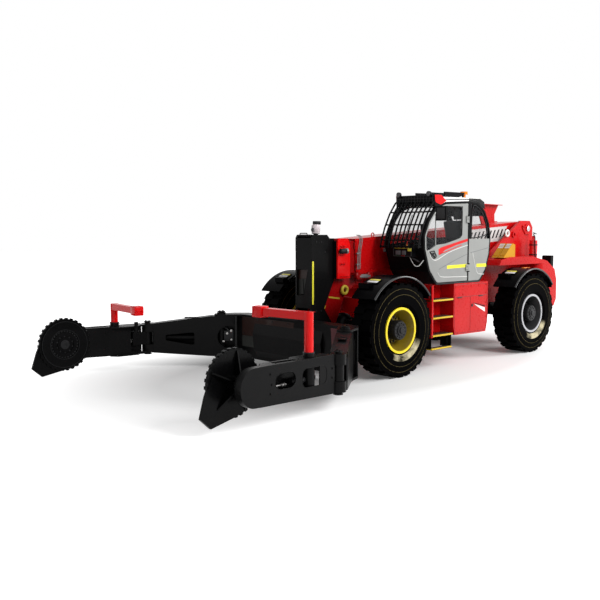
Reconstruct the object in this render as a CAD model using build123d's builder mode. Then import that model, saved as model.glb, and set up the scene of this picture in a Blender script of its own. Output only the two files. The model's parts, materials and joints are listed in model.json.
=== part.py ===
from build123d import *
from math import atan2, cos, degrees, hypot, radians, sin, sqrt, tan
import os

os.makedirs("parts", exist_ok=True)

# A heavy telehandler with a tyre handler on its boom. Millimetres; +X is forward, +Y is the
# cab's side (left), +Z is up, and the origin is on the ground at the middle of the overall length.
# Outline points are (distance ahead of an axle, height above the ground).

# ------------------------------------------------------------------ driving dimensions
front_axle_x = 585.0  # from the origin to the front axle
wheelbase = 3850.0
rear_axle_x = front_axle_x - wheelbase
wheel_y = 1090.0  # centreline of the machine to the middle of a tyre
kingpin_y = 950.0
running = 0.05  # radial clearance of pins and shafts
seat_gap = 0.3  # between pieces of different bodies that bear on each other

# tyres and rims
tyre_radius = 745.0
tyre_width = 450.0
tread_width = 392.0
lug_depth = 30.0
lug_length = 106.0
lug_count = 26
bead_width = 334.0
rim_seat_radius = 332.0
rim_flange_radius = 364.0
rim_width = 376.0
rim_barrel_radius = 304.0
rim_disc_in = 48.0  # inner face of the disc, behind the middle of the tyre
rim_disc_out = 20.0  # outer face of the disc, behind the middle of the tyre
rim_cone_radius = 236.0  # foot of the cone that runs in from the outer flange
hub_radius = 150.0
hub_out = 84.0  # hub cap ahead of the middle of the tyre
hub_in = 50.0
spindle_radius = 80.0
axle_z = tyre_radius

# axles and knuckles
axle_beam_depth = 210.0
differential_radius = 190.0
knuckle_radius = 84.0
knuckle_height = 220.0
ear_thickness = 42.0
ear_radius = 54.0
kingpin_radius = 32.0
fender_gap = 88.0  # tyre to fender
fender_thickness = 24.0
fender_inner_y = 846.0
fender_outer_y = 1318.0
fender_front_angle = 38.0  # degrees above the horizontal at the front end
fender_rear_angle = 142.0
fender_radius = tyre_radius + fender_gap

# main frame
frame_plate = 50.0
frame_half_width = 415.0  # to the outer faces of its side plates
frame_inner_y = frame_half_width - frame_plate
frame_bottom = 600.0
frame_top = 1290.0
frame_nose = 60.0  # ahead of the front axle
axle_notch = 185.0  # half width of the frame's notch over an axle
axle_notch_top = 905.0
belly_plate = 40.0

# boom pivot and boom section
boom_slope = 3.7  # degrees nose down at rest
pivot_x = rear_axle_x - 1170.0
pivot_z = 2350.0
pivot_pin_radius = 55.0
pivot_boss_radius = 98.0
boom_top = 144.0  # above the pivot's line
boom_bottom = -450.0
boom_half_width = 260.0
boom_wall = 18.0
boom_front = front_axle_x - 30.0
inner_gap = 14.0  # between outer and inner boom, filled by the wear pads at the mouth
inner_wall = 14.0
inner_length_hidden = 3900.0
inner_reach = 190.0  # inner tube ahead of the outer boom's mouth

# tower plates that hold the boom pivot
tower_top_z = 2510.0
tower_rear = 220.0  # behind the pivot

# lift cylinders
lift_barrel_pin = (620.0, -1400.0)  # ahead of and above the boom pivot
lift_rod_pin = (3000.0, -620.0)  # along and above the boom's own line
lift_cylinder_y = 175.0
lift_barrel_radius = 85.0
lift_rod_radius = 52.0
lift_pin_radius = 36.0
lift_eye_radius = 74.0
lift_eye_width = 112.0
lift_lug = 20.0
lift_rod_bare = 190.0  # rod that shows at rest
lift_rod_foot = 420.0  # from the barrel's eye to the rod's inner end

# boom nose, carriage and tilt
tilt_pivot = (550.0, 600.0)  # ahead of the front axle, above the ground
tilt_pin_radius = 46.0
nose_plate = 28.0
nose_half_width = 150.0
tilt_barrel_pin = (-215.0, 1478.0)
tilt_rod_pin = (610.0, 1400.0)
tilt_barrel_radius = 62.0
tilt_rod_radius = 38.0
tilt_eye_radius = 62.0
tilt_eye_width = 90.0
tilt_rod_bare = 145.0
tilt_rod_foot = 185.0
small_pin_radius = 30.0

# tyre handler
mast_half_width = 190.0
mast_plate = 24.0
mast_front = 900.0
mast_rear = 400.0
mast_top = 2238.0
beam_rear = 985.0
beam_front = 1250.0
beam_half_width = 1280.0
beam_bottom = 165.0
beam_top = 905.0
lug_plate = 30.0
outer_arm_face = 30.0  # arm's outer face beyond the elbow pin
root_pin = (1450.0, 1450.0)  # ahead of the front axle, out from the centreline
elbow_pin = (2400.0, 2251.0)
arm_pin_radius = 48.0
root_arm_half_width = 112.0
root_arm_back = 225.0  # root arm behind its pin
root_web = 284.0  # rear face of the web behind the root arm, behind the pin
root_arm_root = (195.5, 874.5)  # bottom and top at the root
root_arm_tip = (262.0, 752.0)  # bottom and top at the elbow
outer_arm_length = 1558.0
outer_arm_splay = 5.2  # degrees out from straight ahead
outer_arm_width = 200.0
outer_arm_end_radius = 230.0
pad_centre_z = 561.0
pad_offset = 361.0  # arm's outer face to the pad's gripping face
pad_radius = 392.0
pad_thickness = 62.0
pad_tooth = 17.0
pad_tooth_count = 30
pad_shaft_radius = 100.0
arm_plate = 20.0
post_radius = 58.0
post_left_up = 190.0  # how far the left post stands above the right one
post_height = 372.0
bar_length = 905.0
bar_size = 100.0

# cab
cab_inner_y = 440.0
cab_outer_y = 1250.0
cab_wall = 34.0
cab_floor_z = 1415.0
door_seam = -1770.0  # ahead of the front axle
belt_z = 2165.0
door_gap = 6.0
glass = 8.0

# engine pod
pod_front = -1010.0
pod_rear = -2830.0
pod_inner_y = 470.0
pod_outer_y = 1250.0
pod_bottom = 640.0
pod_top = 1700.0
hood_skin = 26.0


# ------------------------------------------------------------------ helpers
def at_front(points):
    """Outline points given ahead of the front axle, as points of a side view."""
    return [(front_axle_x + x, z) for x, z in points]


def at_rear(points):
    """Outline points given ahead of the rear axle, as points of a side view."""
    return [(rear_axle_x + x, z) for x, z in points]


def side_view(y):
    """A side-view plane at the stated distance to the left; it is extruded to the right."""
    return Plane.XZ.offset(-y)


def turned(point, angle):
    """The point turned about the origin by an angle in degrees, anticlockwise."""
    x, y = point
    return (
        x * cos(radians(angle)) - y * sin(radians(angle)),
        x * sin(radians(angle)) + y * cos(radians(angle)),
    )


def on_boom(along, up):
    """A side-view point given along and above the boom's own line, from its pivot."""
    dx, dz = turned((along, up), -boom_slope)
    return (pivot_x + dx, pivot_z + dz)


def slab(points, y_low, y_high):
    """A plate with a side-view outline between two distances from the centreline."""
    with BuildPart() as plate:
        with BuildSketch(side_view(y_high)):
            with BuildLine():
                Polyline(*points, close=True)
            make_face()
        extrude(amount=y_high - y_low)
    return plate.part


def block(x_low, x_high, y_low, y_high, z_low, z_high):
    """A plain block between the stated limits."""
    centre = ((x_low + x_high) / 2, (y_low + y_high) / 2, (z_low + z_high) / 2)
    return Pos(*centre) * Box(x_high - x_low, y_high - y_low, z_high - z_low, mode=Mode.PRIVATE)


def cross_bar(x, z, radius, y_low, y_high):
    """A round bar along the machine's width."""
    middle = Pos(x, (y_low + y_high) / 2, z) * Rot(90, 0, 0)
    return middle * Cylinder(radius, y_high - y_low, mode=Mode.PRIVATE)


def upright(x, y, radius, z_low, z_high):
    """A round bar that stands up."""
    middle = Pos(x, y, (z_low + z_high) / 2)
    return middle * Cylinder(radius, z_high - z_low, mode=Mode.PRIVATE)


def along_line(start, end, radius, y):
    """A round bar between two side-view points, in the plane at the stated distance left."""
    (x0, z0), (x1, z1) = start, end
    tilt = degrees(atan2(z1 - z0, x1 - x0))
    middle = Pos((x0 + x1) / 2, y, (z0 + z1) / 2) * Rot(0, 90 - tilt, 0)
    return middle * Cylinder(radius, hypot(x1 - x0, z1 - z0), mode=Mode.PRIVATE)


def write(part, name):
    """Label a finished piece and write its file."""
    part.label = name
    export_step(part, f"parts/{name}.step")


# ------------------------------------------------------------------ wheels
crown_radius = tyre_radius - lug_depth
lug_top = sqrt(tyre_radius**2 - (lug_length / 2) ** 2)
tread_depth = 24.0

with BuildPart() as tyre:
    with BuildSketch(Plane.XY):
        with BuildLine():
            Polyline(
                (rim_seat_radius, -bead_width / 2),
                (rim_flange_radius + 6, -bead_width / 2),
                (rim_flange_radius + 60, -tyre_width / 2 + 12),
                (rim_flange_radius + 190, -tyre_width / 2),
                (crown_radius, -tread_width / 2 - 4),
                (crown_radius, tread_width / 2 + 4),
                (rim_flange_radius + 190, tyre_width / 2),
                (rim_flange_radius + 60, tyre_width / 2 - 12),
                (rim_flange_radius + 6, bead_width / 2),
                (rim_seat_radius, bead_width / 2),
                close=True,
            )
        make_face()
    revolve(axis=Axis.Y)
    for row, stagger in ((1, 0), (-1, 180 / lug_count)):
        with BuildSketch(Plane.XZ):
            with PolarLocations((crown_radius + lug_top - tread_depth) / 2, lug_count, -90 + stagger):
                Rectangle(lug_top - crown_radius + tread_depth, lug_length)
        extrude(amount=-row * tread_width / 2)

with BuildPart() as rim:
    with BuildSketch(Plane.XY):
        with BuildLine():
            Polyline(
                (spindle_radius + running, -hub_in),
                (hub_radius, -hub_in),
                (hub_radius, -rim_disc_in),
                (rim_barrel_radius, -rim_disc_in),
                (rim_barrel_radius, -rim_width / 2),
                (rim_flange_radius, -rim_width / 2),
                (rim_flange_radius, -bead_width / 2),
                (rim_seat_radius, -bead_width / 2),
                (rim_seat_radius, bead_width / 2),
                (rim_flange_radius, bead_width / 2),
                (rim_flange_radius, rim_width / 2),
                (rim_barrel_radius + 22, rim_width / 2),
                (rim_barrel_radius, rim_width / 2 - 40),
                (rim_cone_radius, 20),
                (rim_cone_radius - 10, -rim_disc_out),
                (hub_radius, -rim_disc_out),
                (hub_radius, hub_out - 44),
                (hub_radius - 30, hub_out - 30),
                (hub_radius - 72, hub_out - 30),
                (hub_radius - 84, hub_out),
                (0, hub_out),
                (0, hub_out - 50),
                (spindle_radius + running, hub_out - 50),
                close=True,
            )
        make_face()
    revolve(axis=Axis.Y)

# A knuckle stands at the origin with its wheel to the left.
spindle_out = wheel_y - kingpin_y + hub_out - 60
stay_x = 200.0  # from the axle to the middle of each stay under the fender
stay_inner = -119.0  # inboard of the kingpin and of the tyre's inner side
stay_outer = -95.0
stay_half = 25.0
stay_foot = axle_z - 40

with BuildPart() as knuckle:
    with Locations((0, 0, axle_z)):
        Cylinder(knuckle_radius, knuckle_height)
        Cylinder(kingpin_radius, knuckle_height + 2 * ear_thickness)
    add(cross_bar(0, axle_z, spindle_radius, 0, spindle_out))
    add(cross_bar(0, axle_z, knuckle_radius + 16, 0, wheel_y - kingpin_y - hub_in - seat_gap))
    # stays that leave the rim inboard and carry the fender over the tyre
    for way in (-1, 1):
        x_low, x_high = sorted((way * (stay_x - stay_half), way * (stay_x + stay_half)))
        root_low, root_high = sorted((0, way * (stay_x + stay_half)))
        stay_top = axle_z + sqrt(fender_radius**2 - stay_x**2) + 14
        add(block(root_low, root_high, -60, -10, stay_foot, stay_foot + 60))
        add(block(x_low, x_high, stay_inner, -10, stay_foot, stay_foot + 60))
        add(block(x_low, x_high, stay_inner, stay_outer, stay_foot, stay_top))
        add(block(x_low, x_high, stay_inner, -20, stay_top - 40, stay_top))
    # the fender, with a lamp box at its front
    with BuildSketch(side_view(fender_outer_y - kingpin_y)):
        with Locations((0, axle_z)):
            Circle(fender_radius + fender_thickness)
            Circle(fender_radius, mode=Mode.SUBTRACT)
        with BuildLine():
            reach = 2 * fender_radius
            Polyline(
                (0, axle_z),
                (reach * cos(radians(fender_front_angle)),
                    axle_z + reach * sin(radians(fender_front_angle))),
                (0, axle_z + 2 * reach),
                (reach * cos(radians(fender_rear_angle)), axle_z + reach * sin(radians(fender_rear_angle))),
                close=True,
            )
        make_face(mode=Mode.INTERSECT)
    extrude(amount=fender_outer_y - fender_inner_y)

with BuildPart() as lamp_box:
    add(block(455, 560, fender_inner_y - kingpin_y + 30, fender_inner_y - kingpin_y + 240, 1418, 1500))

for place, axle_x, side in (
    ("front_left", front_axle_x, 1),
    ("front_right", front_axle_x, -1),
    ("rear_left", rear_axle_x, 1),
    ("rear_right", rear_axle_x, -1),
):
    half_turn = 0 if side > 0 else 180
    wheel_place = Pos(axle_x, side * wheel_y, axle_z) * Rot(0, 0, half_turn)
    write(wheel_place * tyre.part, f"tyre_{place}")
    write(wheel_place * rim.part, f"rim_{place}")
    knuckle_place = Pos(axle_x, side * kingpin_y, 0)
    whole = knuckle.part + lamp_box.part
    hand = whole if side > 0 else mirror(whole, about=Plane.XZ)
    write(knuckle_place * hand, f"knuckle_{place}")

# ------------------------------------------------------------------ axles
ear_z = axle_z + knuckle_height / 2 + seat_gap
with BuildPart() as axle:
    add(block(-axle_beam_depth / 2, axle_beam_depth / 2, -700, 700, axle_z - 85, axle_z + 85))
    with Locations((0, 0, axle_z)):
        Sphere(differential_radius)
    for side in (-1, 1):
        with Locations((0, side * kingpin_y, ear_z + ear_thickness / 2)):
            Cylinder(ear_radius, ear_thickness)
        with Locations((0, side * kingpin_y, 2 * axle_z - ear_z - ear_thickness / 2)):
            Cylinder(ear_radius, ear_thickness)
        low, high = sorted((side * 640, side * kingpin_y))
        add(block(-ear_radius, ear_radius, low, high, ear_z, ear_z + ear_thickness))
        add(block(-ear_radius, ear_radius, low, high, 2 * axle_z - ear_z - ear_thickness,
            2 * axle_z - ear_z))
        low, high = sorted((side * 640, side * 720))
        add(block(-ear_radius, ear_radius, low, high, 2 * axle_z - ear_z - ear_thickness,
            ear_z + ear_thickness))
        low, high = sorted((side * frame_inner_y, side * frame_half_width))
        add(block(-100, 100, low, high, axle_z + 60, axle_notch_top))
        with Locations((0, side * kingpin_y, axle_z)):
            Cylinder(kingpin_radius + running, 2 * knuckle_height, mode=Mode.SUBTRACT)

write(Pos(front_axle_x, 0, 0) * axle.part, "front_axle")
write(Pos(rear_axle_x, 0, 0) * axle.part, "rear_axle")

# ------------------------------------------------------------------ main frame with the boom towers
barrel_pin_x = pivot_x + lift_barrel_pin[0]
barrel_pin_z = pivot_z + lift_barrel_pin[1]
frame_outline = [
    (front_axle_x + frame_nose, frame_bottom + 60),
    (front_axle_x + frame_nose, frame_top - 90),
    (front_axle_x - 80, frame_top),
    (rear_axle_x + 480, frame_top),
    (rear_axle_x + 100, 1900),
    (pivot_x + 235, tower_top_z),
    (pivot_x - 110, tower_top_z),
    (pivot_x - tower_rear, tower_top_z - 130),
    (pivot_x - tower_rear, 800),
    (pivot_x - tower_rear + 180, frame_bottom),
    (front_axle_x - 40, frame_bottom),
]
boss_reach = boom_half_width + 5

with BuildPart() as main_frame:
    for side in (-1, 1):
        low, high = sorted((side * frame_inner_y, side * frame_half_width))
        add(slab(frame_outline, low, high))
        low, high = sorted((side * boss_reach, side * (frame_half_width + 22)))
        add(cross_bar(pivot_x, pivot_z, pivot_boss_radius, low, high))
        low, high = sorted((side * (frame_inner_y - 70), side * frame_inner_y))
        add(cross_bar(barrel_pin_x, barrel_pin_z, lift_eye_radius, low, high))
    add(block(front_axle_x - 30, front_axle_x + 30, -frame_inner_y, frame_inner_y, axle_notch_top + 50,
        1200))
    add(block(front_axle_x - 1900, front_axle_x - 1700, -frame_inner_y, frame_inner_y, frame_bottom, 860))
    add(block(front_axle_x - 1900, front_axle_x - 500, -frame_inner_y, frame_inner_y, frame_bottom,
        frame_bottom + belly_plate))
    add(block(rear_axle_x + 330, rear_axle_x + 400, -frame_inner_y, frame_inner_y, frame_bottom, 800))
    add(block(pivot_x - tower_rear, pivot_x - tower_rear + 60, -frame_inner_y, frame_inner_y, 900, 2000))
    for axle_x in (front_axle_x, rear_axle_x):
        with Locations((axle_x, 0, axle_notch_top / 2)):
            Box(2 * axle_notch, 2 * frame_half_width + 10, axle_notch_top, mode=Mode.SUBTRACT)
    add(cross_bar(barrel_pin_x, barrel_pin_z, lift_pin_radius, -frame_inner_y, frame_inner_y))
    add(cross_bar(pivot_x, pivot_z, pivot_pin_radius, -frame_half_width - 40, frame_half_width + 40))
    # beams that carry the cab, the side box and the engine pod
    for x in (-1120, -2060):
        add(block(front_axle_x + x - 50, front_axle_x + x + 50, frame_half_width, 950, frame_top,
            cab_floor_z))
        add(block(front_axle_x + x - 50, front_axle_x + x + 50, 300, frame_half_width, frame_top - 60,
            cab_floor_z))

write(main_frame.part, "main_frame")

# ------------------------------------------------------------------ counterweight
cw_front_clear = rear_axle_x - 950.0
cw_half_width = 850.0
cw_outline = [
    (rear_axle_x + 470, 1650),
    (rear_axle_x + 420, 1750),
    (rear_axle_x + 100, 1800),
    (rear_axle_x - 700, 1795),
    (rear_axle_x - 1250, 1700),
    (rear_axle_x - 1560, 1520),
    (rear_axle_x - 1640, 1300),
    (rear_axle_x - 1650, 900),
    (rear_axle_x - 1560, 760),
    (cw_front_clear, 760),
    (cw_front_clear, 1650),
]
with BuildPart() as counterweight:
    add(slab(cw_outline, -cw_half_width, cw_half_width))
    corner_edges = counterweight.edges().filter_by(Axis.Z)
    fillet(corner_edges.group_by(Axis.X)[0], radius=150)
    middle = 2 * (frame_half_width + seat_gap)
    slot_end = pivot_x - tower_rear - seat_gap
    add(block(slot_end, rear_axle_x + 600, -middle / 2, middle / 2, 0, 3000), mode=Mode.SUBTRACT)
write(counterweight.part, "counterweight")

# ------------------------------------------------------------------ boom, in its own frame: pivot at the origin
boom_place = Pos(pivot_x, 0, pivot_z) * Rot(0, boom_slope, 0)
mouth = (boom_front - pivot_x) / cos(radians(boom_slope))
cavity_y = boom_half_width - boom_wall
cavity_top = boom_top - boom_wall
cavity_bottom = boom_bottom + boom_wall
outer_boom_outline = [
    (-135, 60),
    (-70, boom_top),
    (mouth, boom_top),
    (mouth, boom_bottom),
    (420, boom_bottom),
    (-60, -135),
    (-135, -60),
]
rod_lug_y = lift_cylinder_y + lift_eye_width / 2 + 8

with BuildPart() as outer_boom:
    add(slab(outer_boom_outline, -boom_half_width, boom_half_width))
    add(block(500, mouth + 5, -cavity_y, cavity_y, cavity_bottom, cavity_top), mode=Mode.SUBTRACT)
    add(cross_bar(0, 0, pivot_pin_radius + running, -400, 400), mode=Mode.SUBTRACT)
    # mouth collar and the wear pads that guide the inner boom
    pad_in = inner_gap - seat_gap
    add(block(mouth - 130, mouth - 12, -150, 150, cavity_top - pad_in, cavity_top))
    add(block(mouth - 130, mouth - 12, -150, 150, cavity_bottom, cavity_bottom + pad_in))
    for side in (-1, 1):
        low, high = sorted((side * (cavity_y - pad_in), side * cavity_y))
        add(block(mouth - 130, mouth - 12, low, high, -260, -60))
        # lugs under the boom for the lift rods, with pin stubs that stop short of the rod's eye
        for lug_y in (lift_cylinder_y - lift_eye_width / 2 - 8 - lift_lug, rod_lug_y):
            low, high = sorted((side * lug_y, side * (lug_y + lift_lug)))
            lug = [(-210, boom_bottom + 5), (210, boom_bottom + 5), (70, lift_rod_pin[1] - 70),
                (-70, lift_rod_pin[1] - 70)]
            add(slab([(lift_rod_pin[0] + x, z) for x, z in lug], low, high))

# hose guide that stands on the rear of the boom
with BuildPart() as hose_guide:
    guide = [(560, boom_top), (1000, boom_top), (1180, 560), (420, 500), (560, 330)]
    add(slab(guide, -14, 14))
    add(block(560, 1000, -70, 70, boom_top, boom_top + 12))
    add(slab([(420, 500), (1180, 560), (1180, 572), (420, 512)], -120, 120))

inner_y = cavity_y - inner_gap
inner_top = cavity_top - inner_gap
inner_bottom = cavity_bottom + inner_gap
inner_front = mouth + inner_reach

with BuildPart() as inner_tube:
    add(block(mouth - inner_length_hidden, inner_front, -inner_y, inner_y, inner_bottom, inner_top))
    add(
        block(
            mouth - inner_length_hidden - 5,
            inner_front - 24,
            -inner_y + inner_wall,
            inner_y - inner_wall,
            inner_bottom + inner_wall,
            inner_top - inner_wall,
        ),
        mode=Mode.SUBTRACT,
    )

# The nose hangs from the inner boom's end: two plates that hold the tilt cylinder between them.
nose_outline = at_front(
    [
        (-300, 1530),
        (-262, 1562),
        (-22, 1570),
        (-12, 1760),
        (150, 1760),
        (170, 1590),
        (340, 1530),
        (540, 1300),
        (680, 990),
        (685, 640),
        (640, 500),
        (550, 462),
        (455, 500),
        (395, 600),
        (215, 1010),
        (100, 1280),
        (-110, 1390),
        (-290, 1410),
    ]
)
pivot_front = (front_axle_x + tilt_pivot[0], tilt_pivot[1])
barrel_front = (front_axle_x + tilt_barrel_pin[0], tilt_barrel_pin[1])
rod_front = (front_axle_x + tilt_rod_pin[0], tilt_rod_pin[1])
nose_inner_y = nose_half_width - nose_plate

with BuildPart() as inner_boom:
    add(boom_place * inner_tube.part)
    for side in (-1, 1):
        low, high = sorted((side * nose_inner_y, side * nose_half_width))
        add(slab(nose_outline, low, high))
        low, high = sorted((side * (tilt_barrel_radius + 15), side * (nose_half_width + 12)))
        add(cross_bar(*barrel_front, tilt_eye_radius + 16, low, high))
    add(cross_bar(front_axle_x + 430, 900, 55, -nose_inner_y, nose_inner_y))
    add(cross_bar(*pivot_front, tilt_pin_radius + 44, -nose_inner_y, nose_inner_y))
    add(cross_bar(*pivot_front, tilt_pin_radius + running, -300, 300), mode=Mode.SUBTRACT)
    add(cross_bar(*barrel_front, small_pin_radius, -nose_half_width - 20, nose_half_width + 20))

write(boom_place * outer_boom.part, "boom_outer")
write(boom_place * hose_guide.part, "boom_hose_guide")
write(inner_boom.part, "boom_inner")


# ------------------------------------------------------------------ cylinders
def barrel(start, end, radius, rod_radius, eye_radius, eye_width, pin_radius, rod_bare, y):
    """A barrel with an eye at its start; it covers all but the rod's bare length."""
    length = hypot(end[0] - start[0], end[1] - start[1])
    way = ((end[0] - start[0]) / length, (end[1] - start[1]) / length)
    foot = (start[0] + way[0] * eye_radius * 0.8, start[1] + way[1] * eye_radius * 0.8)
    top = (end[0] - way[0] * rod_bare, end[1] - way[1] * rod_bare)
    bore_start = (start[0] + way[0] * (eye_radius + 45), start[1] + way[1] * (eye_radius + 45))
    collar = (top[0] - way[0] * 70, top[1] - way[1] * 70)
    with BuildPart() as body:
        add(along_line(foot, top, radius, y))
        add(along_line(collar, top, radius + 10, y))
        add(cross_bar(*start, eye_radius, y - eye_width / 2, y + eye_width / 2))
        add(along_line(bore_start, end, rod_radius + running, y), mode=Mode.SUBTRACT)
        add(cross_bar(*start, pin_radius + running, y - 200, y + 200), mode=Mode.SUBTRACT)
    return body.part


def rod(start, end, radius, eye_radius, eye_width, rod_foot, y):
    """A rod that starts inside its barrel, with a closed eye at its end."""
    length = hypot(end[0] - start[0], end[1] - start[1])
    way = ((end[0] - start[0]) / length, (end[1] - start[1]) / length)
    foot = (start[0] + way[0] * rod_foot, start[1] + way[1] * rod_foot)
    with BuildPart() as body:
        add(along_line(foot, end, radius, y))
        add(cross_bar(*end, eye_radius, y - eye_width / 2, y + eye_width / 2))
    return body.part


lift_start = (barrel_pin_x, barrel_pin_z)
lift_end = on_boom(*lift_rod_pin)
lift_barrels = Part() + [
    barrel(
        lift_start,
        lift_end,
        lift_barrel_radius,
        lift_rod_radius,
        lift_eye_radius,
        lift_eye_width,
        lift_pin_radius,
        lift_rod_bare,
        y,
    )
    for y in (-lift_cylinder_y, lift_cylinder_y)
]
lift_rods = Part() + [
    rod(lift_start, lift_end, lift_rod_radius, lift_eye_radius, lift_eye_width, lift_rod_foot, y)
    for y in (-lift_cylinder_y, lift_cylinder_y)
]
tilt_barrel = barrel(
    barrel_front,
    rod_front,
    tilt_barrel_radius,
    tilt_rod_radius,
    tilt_eye_radius,
    tilt_eye_width,
    small_pin_radius,
    tilt_rod_bare,
    0,
)
tilt_rod = rod(barrel_front, rod_front, tilt_rod_radius, tilt_eye_radius, tilt_eye_width, tilt_rod_foot, 0)
write(lift_barrels, "lift_barrels")
write(lift_rods, "lift_rods")
write(tilt_barrel, "tilt_barrel")
write(tilt_rod, "tilt_rod")

# ------------------------------------------------------------------ carriage: mast, head plates and beam
mast_inner_y = mast_half_width - mast_plate
mast_outline = at_front(
    [
        (mast_front, mast_top - 50),
        (mast_front - 30, mast_top),
        (560, mast_top),
        (500, mast_top - 58),
        (mast_rear, mast_top - 58),
        (mast_rear, 1500),
        (620, 1060),
        (450, 820),
        (400, 640),
        (440, 500),
        (550, 450),
        (beam_rear, 400),
        (beam_rear, beam_top),
        (mast_front, beam_top + 160),
    ]
)
head_outline = at_front([(428, 1530), (428, 2178), (186, 2178), (137, 2070), (137, 1530)])
head_y = 300.0
head_plate = 28.0

with BuildPart() as mast:
    for side in (-1, 1):
        low, high = sorted((side * mast_inner_y, side * mast_half_width))
        add(slab(mast_outline, low, high))
        low, high = sorted((side * mast_inner_y, side * (head_y - head_plate)))
        add(block(front_axle_x + mast_rear, front_axle_x + mast_rear + 28, low, high, 1530, 2140))
        low, high = sorted((side * (tilt_eye_width / 2 + 8), side * mast_inner_y))
        add(cross_bar(*rod_front, small_pin_radius + 22, low, high))
    add(block(front_axle_x + mast_front - 24, front_axle_x + mast_front, -mast_inner_y, mast_inner_y,
        beam_top + 160, mast_top - 50))
    # cover opening low on the front plate
    with BuildSketch(Plane.YZ.offset(front_axle_x + mast_front - 60)):
        with BuildLine():
            Polyline((-160, 1686), (106, 1686), (0, 1272), (-160, 1262), close=True)
        make_face()
    extrude(amount=120, mode=Mode.SUBTRACT)
    add(block(front_axle_x + 560, front_axle_x + mast_front - 24, -mast_inner_y, mast_inner_y,
        mast_top - 24, mast_top))
    add(cross_bar(*pivot_front, tilt_pin_radius, -mast_half_width - 18, mast_half_width + 18))
with BuildPart() as head_plates:
    for side in (-1, 1):
        low, high = sorted((side * (head_y - head_plate), side * head_y))
        add(slab(head_outline, low, high))
        low, high = sorted((side * head_y, side * (head_y + 26)))
        add(cross_bar(front_axle_x + 330, 1960, 26, low, high))
with BuildPart() as mast_camera:
    add(upright(front_axle_x + 630, 0, 40, mast_top, mast_top + 14))
    add(upright(front_axle_x + 630, 0, 66, mast_top + 14, mast_top + 128))
    add(upright(front_axle_x + 630, 0, 50, mast_top + 128, mast_top + 182))

root_x = front_axle_x + root_pin[0]
with BuildPart() as beam:
    beam_section = at_front(
        [
            (beam_rear, beam_bottom),
            (beam_front - 70, beam_bottom),
            (beam_front, 470),
            (beam_front, beam_top),
            (beam_rear, beam_top),
        ]
    )
    add(slab(beam_section, -beam_half_width, beam_half_width))
    housing = at_front([(beam_front - 20, beam_top - 45), (beam_front + 55, 610), (beam_front + 20, 330),
        (beam_front - 60, 220)])
    add(slab(housing, -800, 800))
    for side in (-1, 1):
        for z in (beam_bottom, beam_top - lug_plate):
            with BuildSketch(Plane.XY.offset(z)):
                with Locations((root_x, side * root_pin[1])):
                    Circle(118)
                with BuildLine():
                    Polyline(
                        (front_axle_x + beam_rear, side * (beam_half_width - 60)),
                        (front_axle_x + beam_front, side * (beam_half_width - 160)),
                        (root_x + 85, side * (root_pin[1] - 82)),
                        (root_x - 85, side * (root_pin[1] + 82)),
                        (root_x - root_web, side * root_pin[1]),
                        (front_axle_x + beam_rear, side * beam_half_width),
                        close=True,
                    )
                make_face()
            extrude(amount=lug_plate)
        low, high = sorted((side * (beam_half_width - 10), side * (root_pin[1] - 6)))
        add(block(root_x - root_web, root_x - root_web + 20, low, high, beam_bottom, beam_top))
        add(upright(root_x, side * root_pin[1], arm_pin_radius, beam_bottom, beam_top + 34))
        add(upright(root_x, side * root_pin[1], arm_pin_radius + 26, beam_top, beam_top + 24))

write(mast.part, "mast")
write(head_plates.part, "head_plates")
write(mast_camera.part, "mast_camera")
write(beam.part, "handler_beam")

# ------------------------------------------------------------------ handler arms, built along +X from their pins
root_arm_length = hypot(elbow_pin[0] - root_pin[0], elbow_pin[1] - root_pin[1])
root_arm_angle = degrees(atan2(elbow_pin[1] - root_pin[1], elbow_pin[0] - root_pin[0]))
elbow_reach = 112.0
elbow_radius = 74.0
outer_ear_radius = 100.0
middle_ear = (402.0, 612.0)
ear_gap = 2.0

with BuildPart() as root_arm:
    body_outline = [
        (-root_arm_back, root_arm_root[0]),
        (-root_arm_back, root_arm_root[1]),
        (150, root_arm_root[1]),
        (root_arm_length - elbow_reach, root_arm_tip[1]),
        (root_arm_length - elbow_reach, root_arm_tip[0]),
        (150, root_arm_root[0]),
    ]
    add(slab(body_outline, -root_arm_half_width, root_arm_half_width))
    cavity = [
        (-root_arm_back - 5, root_arm_root[0] + arm_plate),
        (-root_arm_back - 5, root_arm_root[1] - arm_plate),
        (150, root_arm_root[1] - arm_plate),
        (root_arm_length - elbow_reach - 60, root_arm_tip[1] - arm_plate),
        (root_arm_length - elbow_reach - 60, root_arm_tip[0] + arm_plate),
        (150, root_arm_root[0] + arm_plate),
    ]
    hollow_y = root_arm_half_width - arm_plate
    add(slab(cavity, -hollow_y, hollow_y), mode=Mode.SUBTRACT)
    # round recess by the root and a tapered slot, both in the inner plate only
    with BuildSketch(side_view(-hollow_y + 5)):
        with Locations((-128, 520)):
            Circle(190)
        with BuildLine():
            Polyline((448, 384), (448, 604), (930, 562), (930, 468), close=True)
        slot = make_face()
        fillet(slot.vertices(), radius=34)
    extrude(amount=arm_plate + 10, mode=Mode.SUBTRACT)
    add(upright(0, 0, arm_pin_radius + running, 0, 1200), mode=Mode.SUBTRACT)
    # the swing cylinder inside the arm, and the ears of the elbow with their pin
    add(along_line((180, 500), (root_arm_length - elbow_reach - 40, 515), 58, 20))
    for low, high in (
        (root_arm_tip[0], middle_ear[0] - ear_gap),
        (middle_ear[1] + ear_gap, root_arm_tip[1]),
    ):
        add(upright(root_arm_length, 0, outer_ear_radius, low, high))
        add(block(root_arm_length - elbow_reach - 5, root_arm_length, -outer_ear_radius, outer_ear_radius,
            low, high))
    add(upright(root_arm_length, 0, arm_pin_radius, root_arm_tip[0] - 24, root_arm_tip[1] + 24))

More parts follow.
